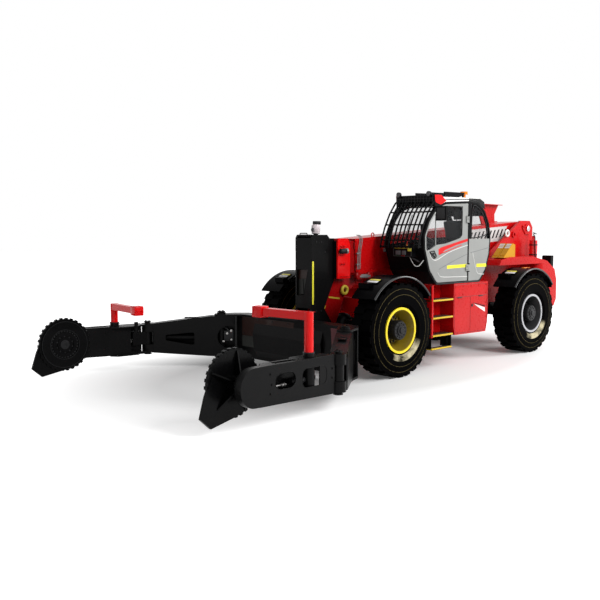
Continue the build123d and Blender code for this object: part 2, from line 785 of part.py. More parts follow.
arm_y_out = outer_arm_face
arm_y_in = outer_arm_face - outer_arm_width
arm_end = outer_arm_length - 52  # middle of the arm's round end
tip_y_in = -70.0  # inner face of the arm's thin end
arm_side = [
    (elbow_reach, root_arm_tip[0]),
    (elbow_reach, root_arm_tip[1]),
    (arm_end, pad_centre_z - 28 + outer_arm_end_radius),
    (arm_end, pad_centre_z - 28 - outer_arm_end_radius),
]
post_y = arm_y_out - outer_arm_width / 2


def build_outer_arm(along):
    """The outer arm with its guide tube for a retaining post at the stated distance along."""
    with BuildPart() as arm:
        with BuildSketch(side_view(400)):
            with BuildLine():
                Polyline(*arm_side, close=True)
            make_face()
            with Locations((arm_end, pad_centre_z - 28)):
                Circle(outer_arm_end_radius)
        extrude(amount=800)
        with BuildSketch(Plane.XY):
            with BuildLine():
                Polyline(
                    (elbow_reach, arm_y_out),
                    (outer_arm_length + 260, arm_y_out),
                    (outer_arm_length + 260, tip_y_in),
                    (1330, tip_y_in),
                    (1250, arm_y_in),
                    (elbow_reach, arm_y_in),
                    close=True,
                )
            make_face()
        extrude(amount=1200, mode=Mode.INTERSECT)
        hollow = [
            (elbow_reach - 5, root_arm_tip[0] + arm_plate),
            (elbow_reach - 5, root_arm_tip[1] - arm_plate),
            (1200, 760),
            (1200, 330),
        ]
        add(slab(hollow, arm_y_in + arm_plate, arm_y_out - arm_plate), mode=Mode.SUBTRACT)
        # windows in the outer plate, and the open bay by the elbow in the inner one
        with BuildSketch(side_view(arm_y_out + 5)):
            with Locations((487, 528)):
                RectangleRounded(448, 238, 78)
            with Locations((1006, 552)):
                SlotOverall(352, 196)
        extrude(amount=arm_plate + 10, mode=Mode.SUBTRACT)
        add(block(elbow_reach - 5, 388, arm_y_in - 5, arm_y_in + arm_plate + 5, 309, 726),
            mode=Mode.SUBTRACT)
        # brackets above and below that carry the swing cylinder's pin
        for z in (root_arm_tip[0] + 8, root_arm_tip[1] - arm_plate):
            with BuildSketch(Plane.XY.offset(z)):
                with BuildLine():
                    Polyline((204, arm_y_in + 40), (204, arm_y_in), (300, arm_y_in - 90),
                        (640, arm_y_in - 90), (740, arm_y_in), (740, arm_y_in + 40), close=True)
                make_face()
            extrude(amount=arm_plate)
        add(upright(311, arm_y_in - 42, 32, root_arm_tip[1] - 120, root_arm_tip[1] + 58))
        with BuildSketch(Plane.XY.offset(660)):
            with Locations((930, arm_y_in + 90)):
                SlotOverall(380, 84, rotation=-4)
        extrude(amount=400, mode=Mode.SUBTRACT)
        # middle ear of the elbow
        ear_low, ear_high = middle_ear
        add(upright(0, 0, elbow_radius, ear_low, ear_high))
        add(block(0, 300, -60, arm_y_out - arm_plate + 2, ear_low, ear_high))
        add(upright(0, 0, arm_pin_radius + running, 0, 1200), mode=Mode.SUBTRACT)
        # guide tube for the retaining post
        add(upright(along, post_y, post_radius + 14, root_arm_tip[0] + 10, root_arm_tip[1] + 56))
        add(upright(along, post_y, post_radius + seat_gap, root_arm_tip[0] + 24, 1200), mode=Mode.SUBTRACT)
        # cone that carries the pad's shaft
        with Locations(Pos(outer_arm_length - 16, tip_y_in - 40, pad_centre_z - 8) * Rot(90, 0, 0)):
            Cone(196, 128, 84)
    return arm.part


def build_post(along):
    """A round post with a square bar across the arm and a chamfered plate at the bar's end."""
    post_low = root_arm_tip[0] + 60
    post_top = root_arm_tip[1] + post_height
    with BuildPart() as post:
        add(upright(along, post_y, post_radius, post_low, post_top))
        add(block(along - bar_size / 2, along + bar_size / 2, post_y - bar_length, post_y,
            post_top - bar_size, post_top))
        with BuildSketch(side_view(post_y - bar_length + 18)):
            with Locations((along, post_top - bar_size / 2)):
                plate = Rectangle(bar_size + 56, bar_size + 44)
                chamfer(plate.vertices(), length=34)
        extrude(amount=18)
    return post.part


# Pad: a toothed disc with gussets on its back and a pointed claw, turning on a short shaft.
pad_face_y = arm_y_out - pad_offset
pad_back_y = pad_face_y + pad_thickness
shaft_end_y = tip_y_in - 82 - seat_gap
with BuildPart() as pad:
    with BuildSketch(side_view(pad_back_y)):
        with Locations((outer_arm_length, pad_centre_z)):
            Circle(pad_radius)
            with PolarLocations(pad_radius, pad_tooth_count):
                Rectangle(2 * pad_tooth, 40)
    extrude(amount=pad_thickness - 12)
    with BuildSketch(side_view(pad_face_y + 12)):
        with Locations((outer_arm_length, pad_centre_z)):
            Circle(pad_radius - 28)
            Circle(218, mode=Mode.SUBTRACT)
            Circle(188)
            Circle(138, mode=Mode.SUBTRACT)
            Circle(112)
    extrude(amount=12)
    for angle in (98, 170, 242, 314, 26):
        gusset = Plane(
            origin=(outer_arm_length, pad_back_y, pad_centre_z),
            x_dir=(cos(radians(angle)), 0, sin(radians(angle))),
            z_dir=(-sin(radians(angle)), 0, cos(radians(angle))),
        )
        with BuildSketch(gusset):
            with BuildLine():
                Polyline((80, -5), (pad_radius - 16, -5), (pad_radius - 16, 14),
                    (pad_shaft_radius + 20, 104), (80, 104), close=True)
            make_face()
        extrude(amount=9, both=True)
    claw = [
        (outer_arm_length - 240, pad_centre_z - 316),
        (outer_arm_length - 12, pad_centre_z - 398),
        (outer_arm_length + 356, pad_centre_z - 470),
        (outer_arm_length + 508, pad_centre_z - 337),
        (outer_arm_length + 432, pad_centre_z - 90),
        (outer_arm_length + 330, pad_centre_z + 130),
    ]
    add(slab(claw, pad_back_y - 30, pad_back_y + 6))
    add(cross_bar(outer_arm_length, pad_centre_z, pad_shaft_radius, pad_back_y, shaft_end_y))


def on_arms(part, side, along_pin, angle):
    """An arm piece at a pin, at an angle out from straight ahead; the right one is mirrored."""
    placed = Pos(front_axle_x + along_pin[0], along_pin[1], 0) * Rot(0, 0, angle) * part
    return placed if side > 0 else mirror(placed, about=Plane.XZ)


for place, side, along, raised in (("left", 1, 486.0, post_left_up), ("right", -1, 626.0, 0.0)):
    write(on_arms(root_arm.part, side, root_pin, root_arm_angle), f"root_arm_{place}")
    write(on_arms(build_outer_arm(along), side, elbow_pin, outer_arm_splay), f"outer_arm_{place}")
    write(on_arms(pad.part, side, elbow_pin, outer_arm_splay), f"pad_{place}")
    write(on_arms(Pos(0, 0, raised) * build_post(along), side, elbow_pin, outer_arm_splay), f"post_{place}")

# ------------------------------------------------------------------ cab: outline ahead of the front axle
cab_outline = at_front(
    [
        (-905, cab_floor_z),
        (-700, 1650),
        (-572, 2010),
        (-566, 2235),
        (-690, 2480),
        (-885, 2695),
        (-1134, 2777),
        (-1750, 2805),
        (-2060, 2777),
        (-2262, 2655),
        (-2400, 2430),
        (-2453, 2170),
        (-2425, 1900),
        (-2320, 1610),
        (-2140, cab_floor_z),
    ]
)
corner_radius = 150.0
seam_x = front_axle_x + door_seam
pillar = 36.0  # width of the door pillar below the belt
upper_pillar = 96.0  # width of the door pillar above the belt
hinge_x = seam_x + 2
hinge_y = cab_outer_y + 14
hinge_length = 110.0
door_hinges = (1620, 2440)


def cab_slab(inset, y_low, y_high):
    """The cab's side outline drawn in by an inset, as a plate between two distances left."""
    with BuildPart() as plate:
        with BuildSketch(side_view(y_high)) as side:
            with BuildLine():
                Polyline(*cab_outline, close=True)
            make_face()
            if inset:
                offset(amount=-inset, kind=Kind.INTERSECTION)
            fillet(side.vertices(), radius=max(corner_radius - inset, 30))
        extrude(amount=y_high - y_low)
    return plate.part


def region(points, y_low=0.0, y_high=1500.0):
    """A side-view region ahead of the front axle that cuts or keeps part of the cab."""
    return slab(at_front(points), y_low, y_high)


screen = [(-300, 2075), (-760, 2075), (-1000, 2560), (-1210, 2560), (-1210, 3000), (-300, 3000)]
rear_light = [(-2250, 2000), (-2600, 2000), (-2600, 2560), (-2250, 2560)]
side_light = [(-560, 2070), (-1740, 2170), (-2420, 2200), (-2420, 2900), (-560, 2900)]
post_line = cab_outer_y - cab_wall
frame_bar = 58.0

with BuildPart() as cab_shell:
    add(cab_slab(0, cab_inner_y, cab_outer_y))
    add(cab_slab(cab_wall, cab_inner_y + cab_wall, cab_outer_y + 5), mode=Mode.SUBTRACT)
    add(region(screen, cab_inner_y + frame_bar, cab_outer_y - frame_bar), mode=Mode.SUBTRACT)
    add(region(rear_light, cab_inner_y + frame_bar, cab_outer_y - frame_bar), mode=Mode.SUBTRACT)
    right_window = cab_slab(cab_wall + frame_bar, 0, cab_inner_y + 100) & region(side_light, 0, 600)
    add(right_window, mode=Mode.SUBTRACT)
    door_post = block(seam_x - pillar, seam_x, post_line, cab_outer_y, cab_floor_z + 10, belt_z)
    add(door_post & cab_slab(cab_wall - 4, 0, 1500))
    upper_post = block(seam_x - upper_pillar, seam_x, post_line, cab_outer_y, belt_z, 2805)
    add(upper_post & cab_slab(cab_wall - 4, 0, 1500))
    for z in door_hinges:
        for ear_low in (z - 18 - seat_gap, z + hinge_length + seat_gap):
            add(block(seam_x - 30, seam_x, cab_outer_y - 5, cab_outer_y, ear_low, ear_low + 18))
            add(block(seam_x - 30, hinge_x + 4, cab_outer_y, hinge_y + 12, ear_low, ear_low + 18))

behind_post = block(front_axle_x - 2600, seam_x - pillar, 0, 1500, 0, belt_z)
above_belt = block(front_axle_x - 2600, seam_x - upper_pillar, 0, 1500, belt_z, 3000)
with BuildPart() as rear_panel:
    add(cab_slab(cab_wall, post_line, cab_outer_y) & behind_post)

screen_band = cab_slab(12, cab_inner_y + frame_bar, cab_outer_y - frame_bar) - cab_slab(12 + glass, 0, 1500)
quarter_glass = cab_slab(cab_wall, cab_outer_y - 20 - glass, cab_outer_y - 20) & above_belt
right_glass = cab_slab(cab_wall + frame_bar, cab_inner_y + 12,
    cab_inner_y + 12 + glass) & region(side_light, 0, 600)
cab_glass = Part() + [
    screen_band & region(screen),
    screen_band & region(rear_light),
    quarter_glass,
    right_glass,
]

# door, hinged at the pillar, with a pane in its upper part
door_front_part = block(seam_x + door_gap, front_axle_x, 0, 1500, 0, 3000)
door_window = [(-500, 1985), (-700, 1985), (-906, 2070), (-1153, 2092), (-1555, 2178), (-1612, 2232),
    (-1612, 2712), (-500, 2712)]
door_light = cab_slab(cab_wall + door_gap + 26, 0, 1500) & region(door_window)
door_handle = [(-712, 1968), (-856, 1982), (-919, 1883), (-871, 1846), (-811, 1848), (-731, 1908)]
with BuildPart() as door:
    add(cab_slab(cab_wall + door_gap, post_line, cab_outer_y) & door_front_part)
    add(door_light, mode=Mode.SUBTRACT)
    add(region(door_handle, cab_outer_y - 14, cab_outer_y + 5), mode=Mode.SUBTRACT)
    mullion = block(front_axle_x - 896, front_axle_x - 883, cab_outer_y - 20, cab_outer_y - 6, 2050, 2700)
    add(mullion & cab_slab(cab_wall + door_gap + 4, 0, 1500))
    for z in door_hinges:
        add(upright(hinge_x, hinge_y, 12, z, z + hinge_length))
        add(block(hinge_x + 7, seam_x + 60, cab_outer_y - 5, cab_outer_y + 20, z, z + hinge_length))
with BuildPart() as door_glass:
    add(door_light & block(seam_x, front_axle_x, cab_outer_y - 28, cab_outer_y - 28 + glass, 0, 3000))

# roof cap, its work-lamp bar, and the guard of curved bars ahead of the screen
roof_outline = at_front(
    [(-1008, 2700), (-1008, 2852), (-1250, 2860), (-2090, 2862), (-2235, 2800), (-2262, 2655)]
)
visor_outline = at_front(
    [(-846, 2700), (-838, 2792), (-838, 2886), (-1006, 2886), (-1006, 2700)]
)
with BuildPart() as roof:
    add(slab(roof_outline, cab_inner_y, cab_outer_y))
    add(cab_slab(0, 0, 1500), mode=Mode.SUBTRACT)
    add(block(front_axle_x - 2300, front_axle_x, 0, 1500, 0, 2690), mode=Mode.SUBTRACT)
with BuildPart() as roof_rails:
    for y in (700, 1000):
        add(block(front_axle_x - 1990, front_axle_x - 1423, y - 12, y + 12, 2938, 2962))
        for x in (-1970, -1460):
            add(block(front_axle_x + x, front_axle_x + x + 30, y - 12, y + 12, 2850, 2945))
    add(slab(roof_outline, 0, 1500), mode=Mode.SUBTRACT)

guard_line = [(-425, 2030), (-440, 2120), (-535, 2370), (-655, 2590), (-800, 2770), (-960, 2860)]
guard_bar = guard_line + [(x - 24, z - 12) for x, z in reversed(guard_line)]
guard_count = 10
guard_pitch = (cab_outer_y - cab_inner_y - 14) / (guard_count - 1)
with BuildPart() as guard:
    for index in range(guard_count):
        y = cab_inner_y + index * guard_pitch
        add(slab(at_front(guard_bar), y, y + 14))
    add(slab(visor_outline, cab_inner_y, cab_outer_y))
    add(block(front_axle_x - 480, front_axle_x - 436, cab_inner_y, cab_outer_y, 2030, 2060))
    for y in (cab_inner_y + 30, cab_outer_y - 60):
        add(block(front_axle_x - 600, front_axle_x - 470, y, y + 30, 2030, 2060))
    add(block(front_axle_x - 610, front_axle_x - 480, 690, 1080, 1880, 2050))
    add(cab_slab(0, 0, 1500), mode=Mode.SUBTRACT)

with BuildPart() as beacon:
    add(upright(front_axle_x - 2127, 900, 30, 2800, 2936))
    add(upright(front_axle_x - 2127, 900, 72, 2936, 2946))
    add(upright(front_axle_x - 2127, 900, 62, 2946, 2990))
    add(slab(roof_outline, 0, 1500), mode=Mode.SUBTRACT)
with BuildPart() as cab_mirror:
    add(block(front_axle_x - 660, front_axle_x - 630, cab_outer_y - 14, 1580, 2600, 2622))
    add(block(front_axle_x - 838, front_axle_x - 630, cab_outer_y - 14, cab_outer_y + 12, 2600, 2622))
    add(block(front_axle_x - 656, front_axle_x - 606, 1455, 1652, 2461, 2690))
    add(cab_slab(0, 0, cab_outer_y), mode=Mode.SUBTRACT)
    add(guard.part, mode=Mode.SUBTRACT)

# seat, console and steering column
cab_deck = cab_floor_z + cab_wall
with BuildPart() as seat:
    add(block(front_axle_x - 1960, front_axle_x - 1480, 640, 1080, cab_deck + 20, 1800))
    add(block(front_axle_x - 1960, front_axle_x - 1300, 520, 625, cab_deck + 20, 2010))
    add(block(front_axle_x - 2060, front_axle_x - 1260, 520, 1100, cab_deck, cab_deck + 20))
    add(slab(at_front([(-1980, 1800), (-1420, 1800), (-1400, 1880), (-1440, 1940), (-1980, 1920)]), 620,
        1100))
    add(slab(at_front([(-2110, 2500), (-1990, 1921), (-1860, 1921), (-1960, 2500)]), 640, 1080))
    add(slab(at_front([(-2140, 2640), (-2110, 2500), (-1990, 2500), (-2030, 2640)]), 740, 980))
with BuildPart() as column:
    with BuildSketch(Plane.XY.offset(cab_deck)):
        with Locations((front_axle_x - 1050, 860)):
            Rectangle(140, 200)
    extrude(amount=480, taper=4)
    add(along_line((front_axle_x - 1050, 1900), (front_axle_x - 1110, 2110), 32, 860))
    steer_tilt = 33.7
    with BuildPart(mode=Mode.PRIVATE) as hoop:
        Torus(185, 15)
        Cylinder(46, 24)
        for angle in (90, 210, 330):
            with Locations(Rot(0, 0, angle)):
                with Locations((92, 0, 0)):
                    Box(184, 26, 12)
    add(Pos(front_axle_x - 1110, 860, 2110) * Rot(0, -steer_tilt, 0) * hoop.part)

write(cab_shell.part, "cab_shell")
write(rear_panel.part, "cab_rear_panel")
write(cab_glass, "cab_glass")
write(door.part, "door")
write(door_glass.part, "door_glass")
write(roof.part, "cab_roof")
write(roof_rails.part, "roof_rails")
write(guard.part, "cab_guard")
write(beacon.part, "beacon")
write(cab_mirror.part, "mirror")
write(seat.part, "seat")
write(column.part, "steering_column")

# ------------------------------------------------------------------ side box and ladder under the cab
box_inner_y = 950.0
box_top = cab_floor_z
box_front = -1400.0
box_outline = at_front([(box_front, box_top), (box_front, 690), (-1440, 540), (-2350, 530), (-2400, 700),
    (-2400, box_top)])
with BuildPart() as side_box:
    add(slab(box_outline, box_inner_y, cab_outer_y))

ladder_front = -808.0
step_heights = (581.0, 874.0, 1166.0)
with BuildPart() as ladder:
    add(block(front_axle_x + ladder_front - 34, front_axle_x + ladder_front, 1120, cab_outer_y, 545,
        box_top))
    add(block(front_axle_x + box_front, front_axle_x - 950, box_inner_y, box_inner_y + 20, 560, box_top))
    for z in step_heights:
        add(block(front_axle_x + box_front, front_axle_x + ladder_front, 1010, cab_outer_y, z - 26, z))
        add(block(front_axle_x + box_front, front_axle_x - 950, box_inner_y, 1010, z - 26, z))
    add(block(front_axle_x + box_front + 40, front_axle_x + ladder_front - 10, 1120, cab_outer_y, 338, 363))
    for x in (box_front + 60, ladder_front - 30):
        add(block(front_axle_x + x, front_axle_x + x + 30, 1170, 1182, 363, step_heights[0] - 26))

write(side_box.part, "side_box")
write(ladder.part, "ladder")

# ------------------------------------------------------------------ engine pod on the right
pod_wall = 26.0
hood_low = 1010.0
hood_hinge = (-pod_inner_y - 13, pod_top + 10)  # left and up
hood_hinges = (-2650.0, -1300.0)
hood_outline = [
    (-pod_inner_y - pod_wall - 4, pod_top),
    (-pod_outer_y + 130, pod_top - 50),
    (-pod_outer_y, pod_top - 210),
    (-pod_outer_y, hood_low),
    (-pod_inner_y - pod_wall - 4, hood_low),
]
pod_length = pod_front - pod_rear
front_view = Plane.YZ.offset(front_axle_x + pod_rear)
with BuildPart() as pod:
    add(block(front_axle_x + pod_rear, front_axle_x + pod_front, -pod_outer_y, -pod_inner_y, pod_bottom,
        hood_low - seat_gap))
    add(
        block(
            front_axle_x + pod_rear + pod_wall,
            front_axle_x + pod_front - pod_wall,
            -pod_outer_y + pod_wall,
            -pod_inner_y - pod_wall,
            pod_bottom + pod_wall,
            hood_low,
        ),
        mode=Mode.SUBTRACT,
    )
    add(block(front_axle_x + pod_rear, front_axle_x + pod_front, -pod_inner_y - pod_wall, -pod_inner_y,
        hood_low - seat_gap, pod_top - 6))
    for x in (-1120, -2060):
        add(block(front_axle_x + x - 50, front_axle_x + x + 50, -pod_inner_y, -frame_half_width,
            frame_top - 160, frame_top))
    for x in hood_hinges:
        for ear in (x - 40 - seat_gap, x + 120 + seat_gap):
            add(along_line((front_axle_x + ear, hood_hinge[1]), (front_axle_x + ear + 40, hood_hinge[1]),
                11, hood_hinge[0]))
            add(block(front_axle_x + ear, front_axle_x + ear + 40, -pod_inner_y - 20, -pod_inner_y - 6,
                pod_top - 20, pod_top + 8))
with BuildPart() as hood:
    with BuildSketch(front_view):
        with BuildLine():
            Polyline(*hood_outline, close=True)
        make_face()
    extrude(amount=pod_length)
    with BuildSketch(Plane.YZ.offset(front_axle_x + pod_rear + hood_skin)):
        with BuildLine():
            inner_outline = [
                (-pod_inner_y + 5, pod_top - hood_skin),
                (-pod_outer_y + 130 + 10, pod_top - 50 - hood_skin),
                (-pod_outer_y + hood_skin, pod_top - 210 - 10),
                (-pod_outer_y + hood_skin, hood_low - 10),
                (-pod_inner_y + 5, hood_low - 10),
            ]
            Polyline(*inner_outline, close=True)
        make_face()
    extrude(amount=pod_length - 2 * hood_skin, mode=Mode.SUBTRACT)
    for x in hood_hinges:
        add(along_line((front_axle_x + x, hood_hinge[1]), (front_axle_x + x + 120, hood_hinge[1]), 11,
            hood_hinge[0]))
        add(block(front_axle_x + x, front_axle_x + x + 120, -pod_inner_y - 90, -pod_inner_y - 13,
            pod_top - 1, pod_top + 14))
    for index in range(7):
        x = front_axle_x + pod_rear + 260 + index * 110
        add(block(x, x + 52, -pod_outer_y - 10, -pod_outer_y + 60, 1090, 1420), mode=Mode.SUBTRACT)
with BuildPart() as engine:
    add(block(front_axle_x - 2560, front_axle_x - 1400, -1120, -620, pod_bottom + pod_wall, 1480))
with BuildPart() as exhaust:
    add(upright(front_axle_x - 2600, -390, 66, frame_top, 1990))
    add(upright(front_axle_x - 2600, -390, 36, 1990, 2420))

write(pod.part, "engine_pod")
write(hood.part, "engine_hood")
write(engine.part, "engine_block")
write(exhaust.part, "exhaust")

# ------------------------------------------------------------------ fittings at the rear
with BuildPart() as chocks:
    for y in (560, 700):
        wedge = at_rear([(310, 1790), (-90, 1798), (-90, 2040), (10, 2060)])
        add(slab(wedge, y, y + 125))
    add(counterweight.part, mode=Mode.SUBTRACT)
with BuildPart() as extinguisher:
    x = rear_axle_x - 1130
    add(upright(x, 600, 78, 1700, 2110))
    add(upright(x, 600, 26, 2110, 2200))
    add(counterweight.part, mode=Mode.SUBTRACT)
with BuildPart() as rear_lamps:
    for side in (-1, 1):
        low, high = sorted((side * 660, side * 850))
        add(block(rear_axle_x - 1500, rear_axle_x - 1400, low, high, 1560, 1800))
    add(counterweight.part, mode=Mode.SUBTRACT)
with BuildPart() as tie_down_eyes:
    for y in (-770, 730):
        with BuildSketch(side_view(y + 40)):
            with Locations((rear_axle_x - 1700, 880)):
                Circle(78)
                with Locations((50, 0)):
                    Rectangle(60, 156)
                Circle(34, mode=Mode.SUBTRACT)
        extrude(amount=40)
    add(counterweight.part, mode=Mode.SUBTRACT)
    for side in (-1, 1):
        low, high = sorted((side * (frame_half_width), side * (frame_half_width + 30)))
        with BuildSketch(side_view(high)):
            with Locations((pivot_x + 500, 2230)):
                Circle(62)
                Circle(32, mode=Mode.SUBTRACT)
        extrude(amount=high - low)

write(chocks.part, "wheel_chocks")
write(extinguisher.part, "fire_extinguisher")
write(rear_lamps.part, "rear_lamps")
write(tie_down_eyes.part, "tie_down_eyes")
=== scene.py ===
"""Telehandler with a tyre handler: finishes, small fittings, studio and camera round the fixed frame."""

import json
import logging
import math
from collections.abc import Callable, Iterable, Sequence
from dataclasses import dataclass
from enum import Enum

import bpy
from mathutils import Matrix, Vector

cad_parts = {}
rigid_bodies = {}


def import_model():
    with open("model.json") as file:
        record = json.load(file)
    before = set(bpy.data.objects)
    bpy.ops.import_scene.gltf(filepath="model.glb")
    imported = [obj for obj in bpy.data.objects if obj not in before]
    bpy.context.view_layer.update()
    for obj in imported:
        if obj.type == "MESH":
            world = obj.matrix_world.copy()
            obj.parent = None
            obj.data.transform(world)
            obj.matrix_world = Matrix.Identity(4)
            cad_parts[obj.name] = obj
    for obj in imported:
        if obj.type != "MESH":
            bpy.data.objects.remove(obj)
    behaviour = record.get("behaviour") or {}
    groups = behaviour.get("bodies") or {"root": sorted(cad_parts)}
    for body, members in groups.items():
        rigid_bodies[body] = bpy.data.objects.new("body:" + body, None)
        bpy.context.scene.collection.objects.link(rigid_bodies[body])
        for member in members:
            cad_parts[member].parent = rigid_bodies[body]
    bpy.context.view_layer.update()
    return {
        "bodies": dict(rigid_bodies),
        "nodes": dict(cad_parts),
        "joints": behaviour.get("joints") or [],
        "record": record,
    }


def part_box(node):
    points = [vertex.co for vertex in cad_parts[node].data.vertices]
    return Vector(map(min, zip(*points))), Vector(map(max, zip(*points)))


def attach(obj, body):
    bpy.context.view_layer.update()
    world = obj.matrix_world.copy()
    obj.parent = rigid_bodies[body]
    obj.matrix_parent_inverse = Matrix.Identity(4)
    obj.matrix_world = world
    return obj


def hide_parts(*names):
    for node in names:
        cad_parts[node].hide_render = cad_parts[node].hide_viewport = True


logging.basicConfig(level=logging.INFO, format="%(message)s")
LOG = logging.getLogger("telehandler")

FRONT_AXLE = 0.585
REAR_AXLE = FRONT_AXLE - 3.85
AXLE_HEIGHT = 0.745
WHEEL_SIDE = 1.09
CAB_SIDE = 1.25
BOOM_SLOPE = math.radians(3.7)
ROOT_REACH = (0.95, 0.801)
BOOM_PIVOT = (REAR_AXLE - 1.17, 2.35)
WHEELS = {
    "front_left": (FRONT_AXLE, 1),
    "front_right": (FRONT_AXLE, -1),
    "rear_left": (REAR_AXLE, 1),
    "rear_right": (REAR_AXLE, -1),
}

Colour = tuple[float, float, float]
Point = tuple[float, float, float]
Flat = tuple[float, float]
Piece = bpy.types.Object

WHITE = (1.0, 1.0, 1.0)
BOTH = (1, -1)
QUARTER_TURN = math.pi / 2
TO_RIGHT = Matrix.Scale(-1.0, 4, (0, 1, 0))
WELD = 0.0042
PATCH_THICK = 0.002
PATCH_EDGE = 0.0004
SOFT_SHARE = 0.3
TUBE_STEPS = 6
MERGE = 0.00002


class Axis(Enum):
    """The axis that a flat outline is drawn across."""

    X = "x"
    Y = "y"
    Z = "z"

    def point(self, first: float, second: float, depth: float) -> Point:
        """A point of an outline at a depth along this axis."""
        if self is Axis.X:
            return (depth, first, second)
        if self is Axis.Y:
            return (first, depth, second)
        return (first, second, depth)


class Side(Enum):
    """Left or right of the machine."""

    LEFT = "left"
    RIGHT = "right"

    @property
    def sign(self) -> int:
        """One on the left and minus one on the right."""
        return 1 if self is Side.LEFT else -1


# ---------------------------------------------------------------- shader maths
def math_node(operation: str, says: str) -> Callable[..., "Sock"]:
    """A method for sockets that adds one Math node.

    Args:
        operation: the node's operation.
        says: the method's docstring.

    Returns:
        The method, which takes the node's other values.
    """

    def method(self: "Sock", *others: "Sock | float") -> "Sock":
        """Add the node."""
        return self.tree.node("ShaderNodeMath", {"operation": operation}, dict(enumerate((self, *others))))

    method.__doc__ = says
    return method


class Sock:
    """A value or socket in a node tree, with operators that add Math nodes."""

    def __init__(self, tree: "Tree", socket: bpy.types.NodeSocket) -> None:
        """Keep the tree and the socket."""
        self.tree, self.socket = tree, socket

    __add__ = __radd__ = math_node("ADD", "Sum.")
    __sub__ = math_node("SUBTRACT", "Difference.")
    __mul__ = __rmul__ = math_node("MULTIPLY", "Product.")
    __truediv__ = math_node("DIVIDE", "Quotient.")
    above = math_node("GREATER_THAN", "One where this is greater than the limit.")
    below = math_node("LESS_THAN", "One where this is less than the limit.")
    larger = math_node("MAXIMUM", "The larger of two.")
    absolute = math_node("ABSOLUTE", "Size without sign.")
    sine = math_node("SINE", "Sine.")
    root = math_node("SQRT", "Square root.")

    def between(self, low: float, high: float) -> "Sock":
        """One inside a range."""
        return self.above(low) * self.below(high)

    def ramp(self, low: float, high: float, to_low: float = 0.0, to_high: float = 1.0) -> "Sock":
        """Map a range onto another and clamp it."""
        names = {"Value": self, "From Min": low, "From Max": high, "To Min": to_low, "To Max": to_high}
        return self.tree.node("ShaderNodeMapRange", {"clamp": True}, names)


class Tree:
    """The node tree of a material or a world, with one method that makes every node."""

    def __init__(self, owner: bpy.types.Material | bpy.types.World, shader: str) -> None:
        """Take up a tree by its own shader.

        Args:
            owner: the material or world.
            shader: the name of the shader node that it starts with.
        """
        owner.use_nodes = True
        self.owner = owner
        self.nodes, self.links = owner.node_tree.nodes, owner.node_tree.links
        self.shader = self.nodes[shader]

    @classmethod
    def of_material(cls, name: str) -> "Tree":
        """The tree of a new material."""
        return cls(bpy.data.materials.new(name), "Principled BSDF")

    def put(self, target: bpy.types.NodeSocket, value: object) -> None:
        """Link a socket or set a value on a target socket."""
        if isinstance(value, Sock):
            self.links.new(value.socket, target)
        elif isinstance(value, (tuple, list)) and target.type == "RGBA" and len(value) == 3:
            target.default_value = (*value, 1.0)
        else:
            target.default_value = value

    def node(self, kind: str, settings: dict | None = None, inputs: dict | None = None,
             output: int | str = 0) -> Sock:
        """Add one node.

        Args:
            kind: the node's type.
            settings: its settings.
            inputs: values or sockets by input name or number.
            output: the output to hand back.

        Returns:
            The chosen output.
        """
        made = self.nodes.new(kind)
        for key, value in (settings or {}).items():
            setattr(made, key, value)
        for key, value in (inputs or {}).items():
            self.put(made.inputs[key], value)
        return Sock(self, made.outputs[output])

    def coordinates(self) -> Sock:
        """Object coordinates."""
        return self.node("ShaderNodeTexCoord", output="Object")

    def axes(self) -> tuple[Sock, Sock, Sock]:
        """Object coordinates taken apart."""
        first = self.node("ShaderNodeSeparateXYZ", {}, {0: self.coordinates()})
        outputs = first.socket.node.outputs
        return tuple(Sock(self, outputs[index]) for index in range(3))

    def noise(self, scale: float, detail: float = 3.0, roughness: float = 0.55) -> Sock:
        """Noise over the object's own coordinates, from 0 to 1."""
        values = {"Vector": self.coordinates(), "Scale": scale, "Detail": detail, "Roughness": roughness}
        return self.node("ShaderNodeTexNoise", {}, values)

    def seen(self) -> Sock:
        """One for what the camera sees straight, in a reflection or through glass."""
        camera, glossy, through = (self.node("ShaderNodeLightPath", output=f"Is {kind} Ray")
                                   for kind in ("Camera", "Glossy", "Transmission"))
        return camera.larger(glossy).larger(through)

    def mix(self, factor: "Sock | float", first: object, second: object) -> Sock:
        """Mix two colours."""
        return self.node("ShaderNodeMix", {"data_type": "RGBA"}, {"Factor": factor, 6: first, 7: second}, output=2)

    def bump(self, height: Sock, strength: float, distance: float) -> None:
        """Feed a height through a Bump node into the shader's normal."""
        normal = self.node("ShaderNodeBump", {}, {"Height": height, "Strength": strength, "Distance": distance})
        self.put(self.shader.inputs["Normal"], normal)

    def set(self, **values: object) -> None:
        """Set the shader's sockets by name, with underscores for spaces."""
        for key, value in values.items():
            self.put(self.shader.inputs[key.replace("_", " ")], value)


# ---------------------------------------------------------------- finishes
@dataclass(frozen=True)
class Finish:
    """A named look that makes one material."""

    name: str

    def shade(self, tree: Tree) -> None:
        """Set up the material's nodes."""
        raise NotImplementedError

    def build(self) -> bpy.types.Material:
        """Make the material.

        Returns:
            The finished material.
        """
        tree = Tree.of_material(self.name)
        self.shade(tree)
        return tree.owner


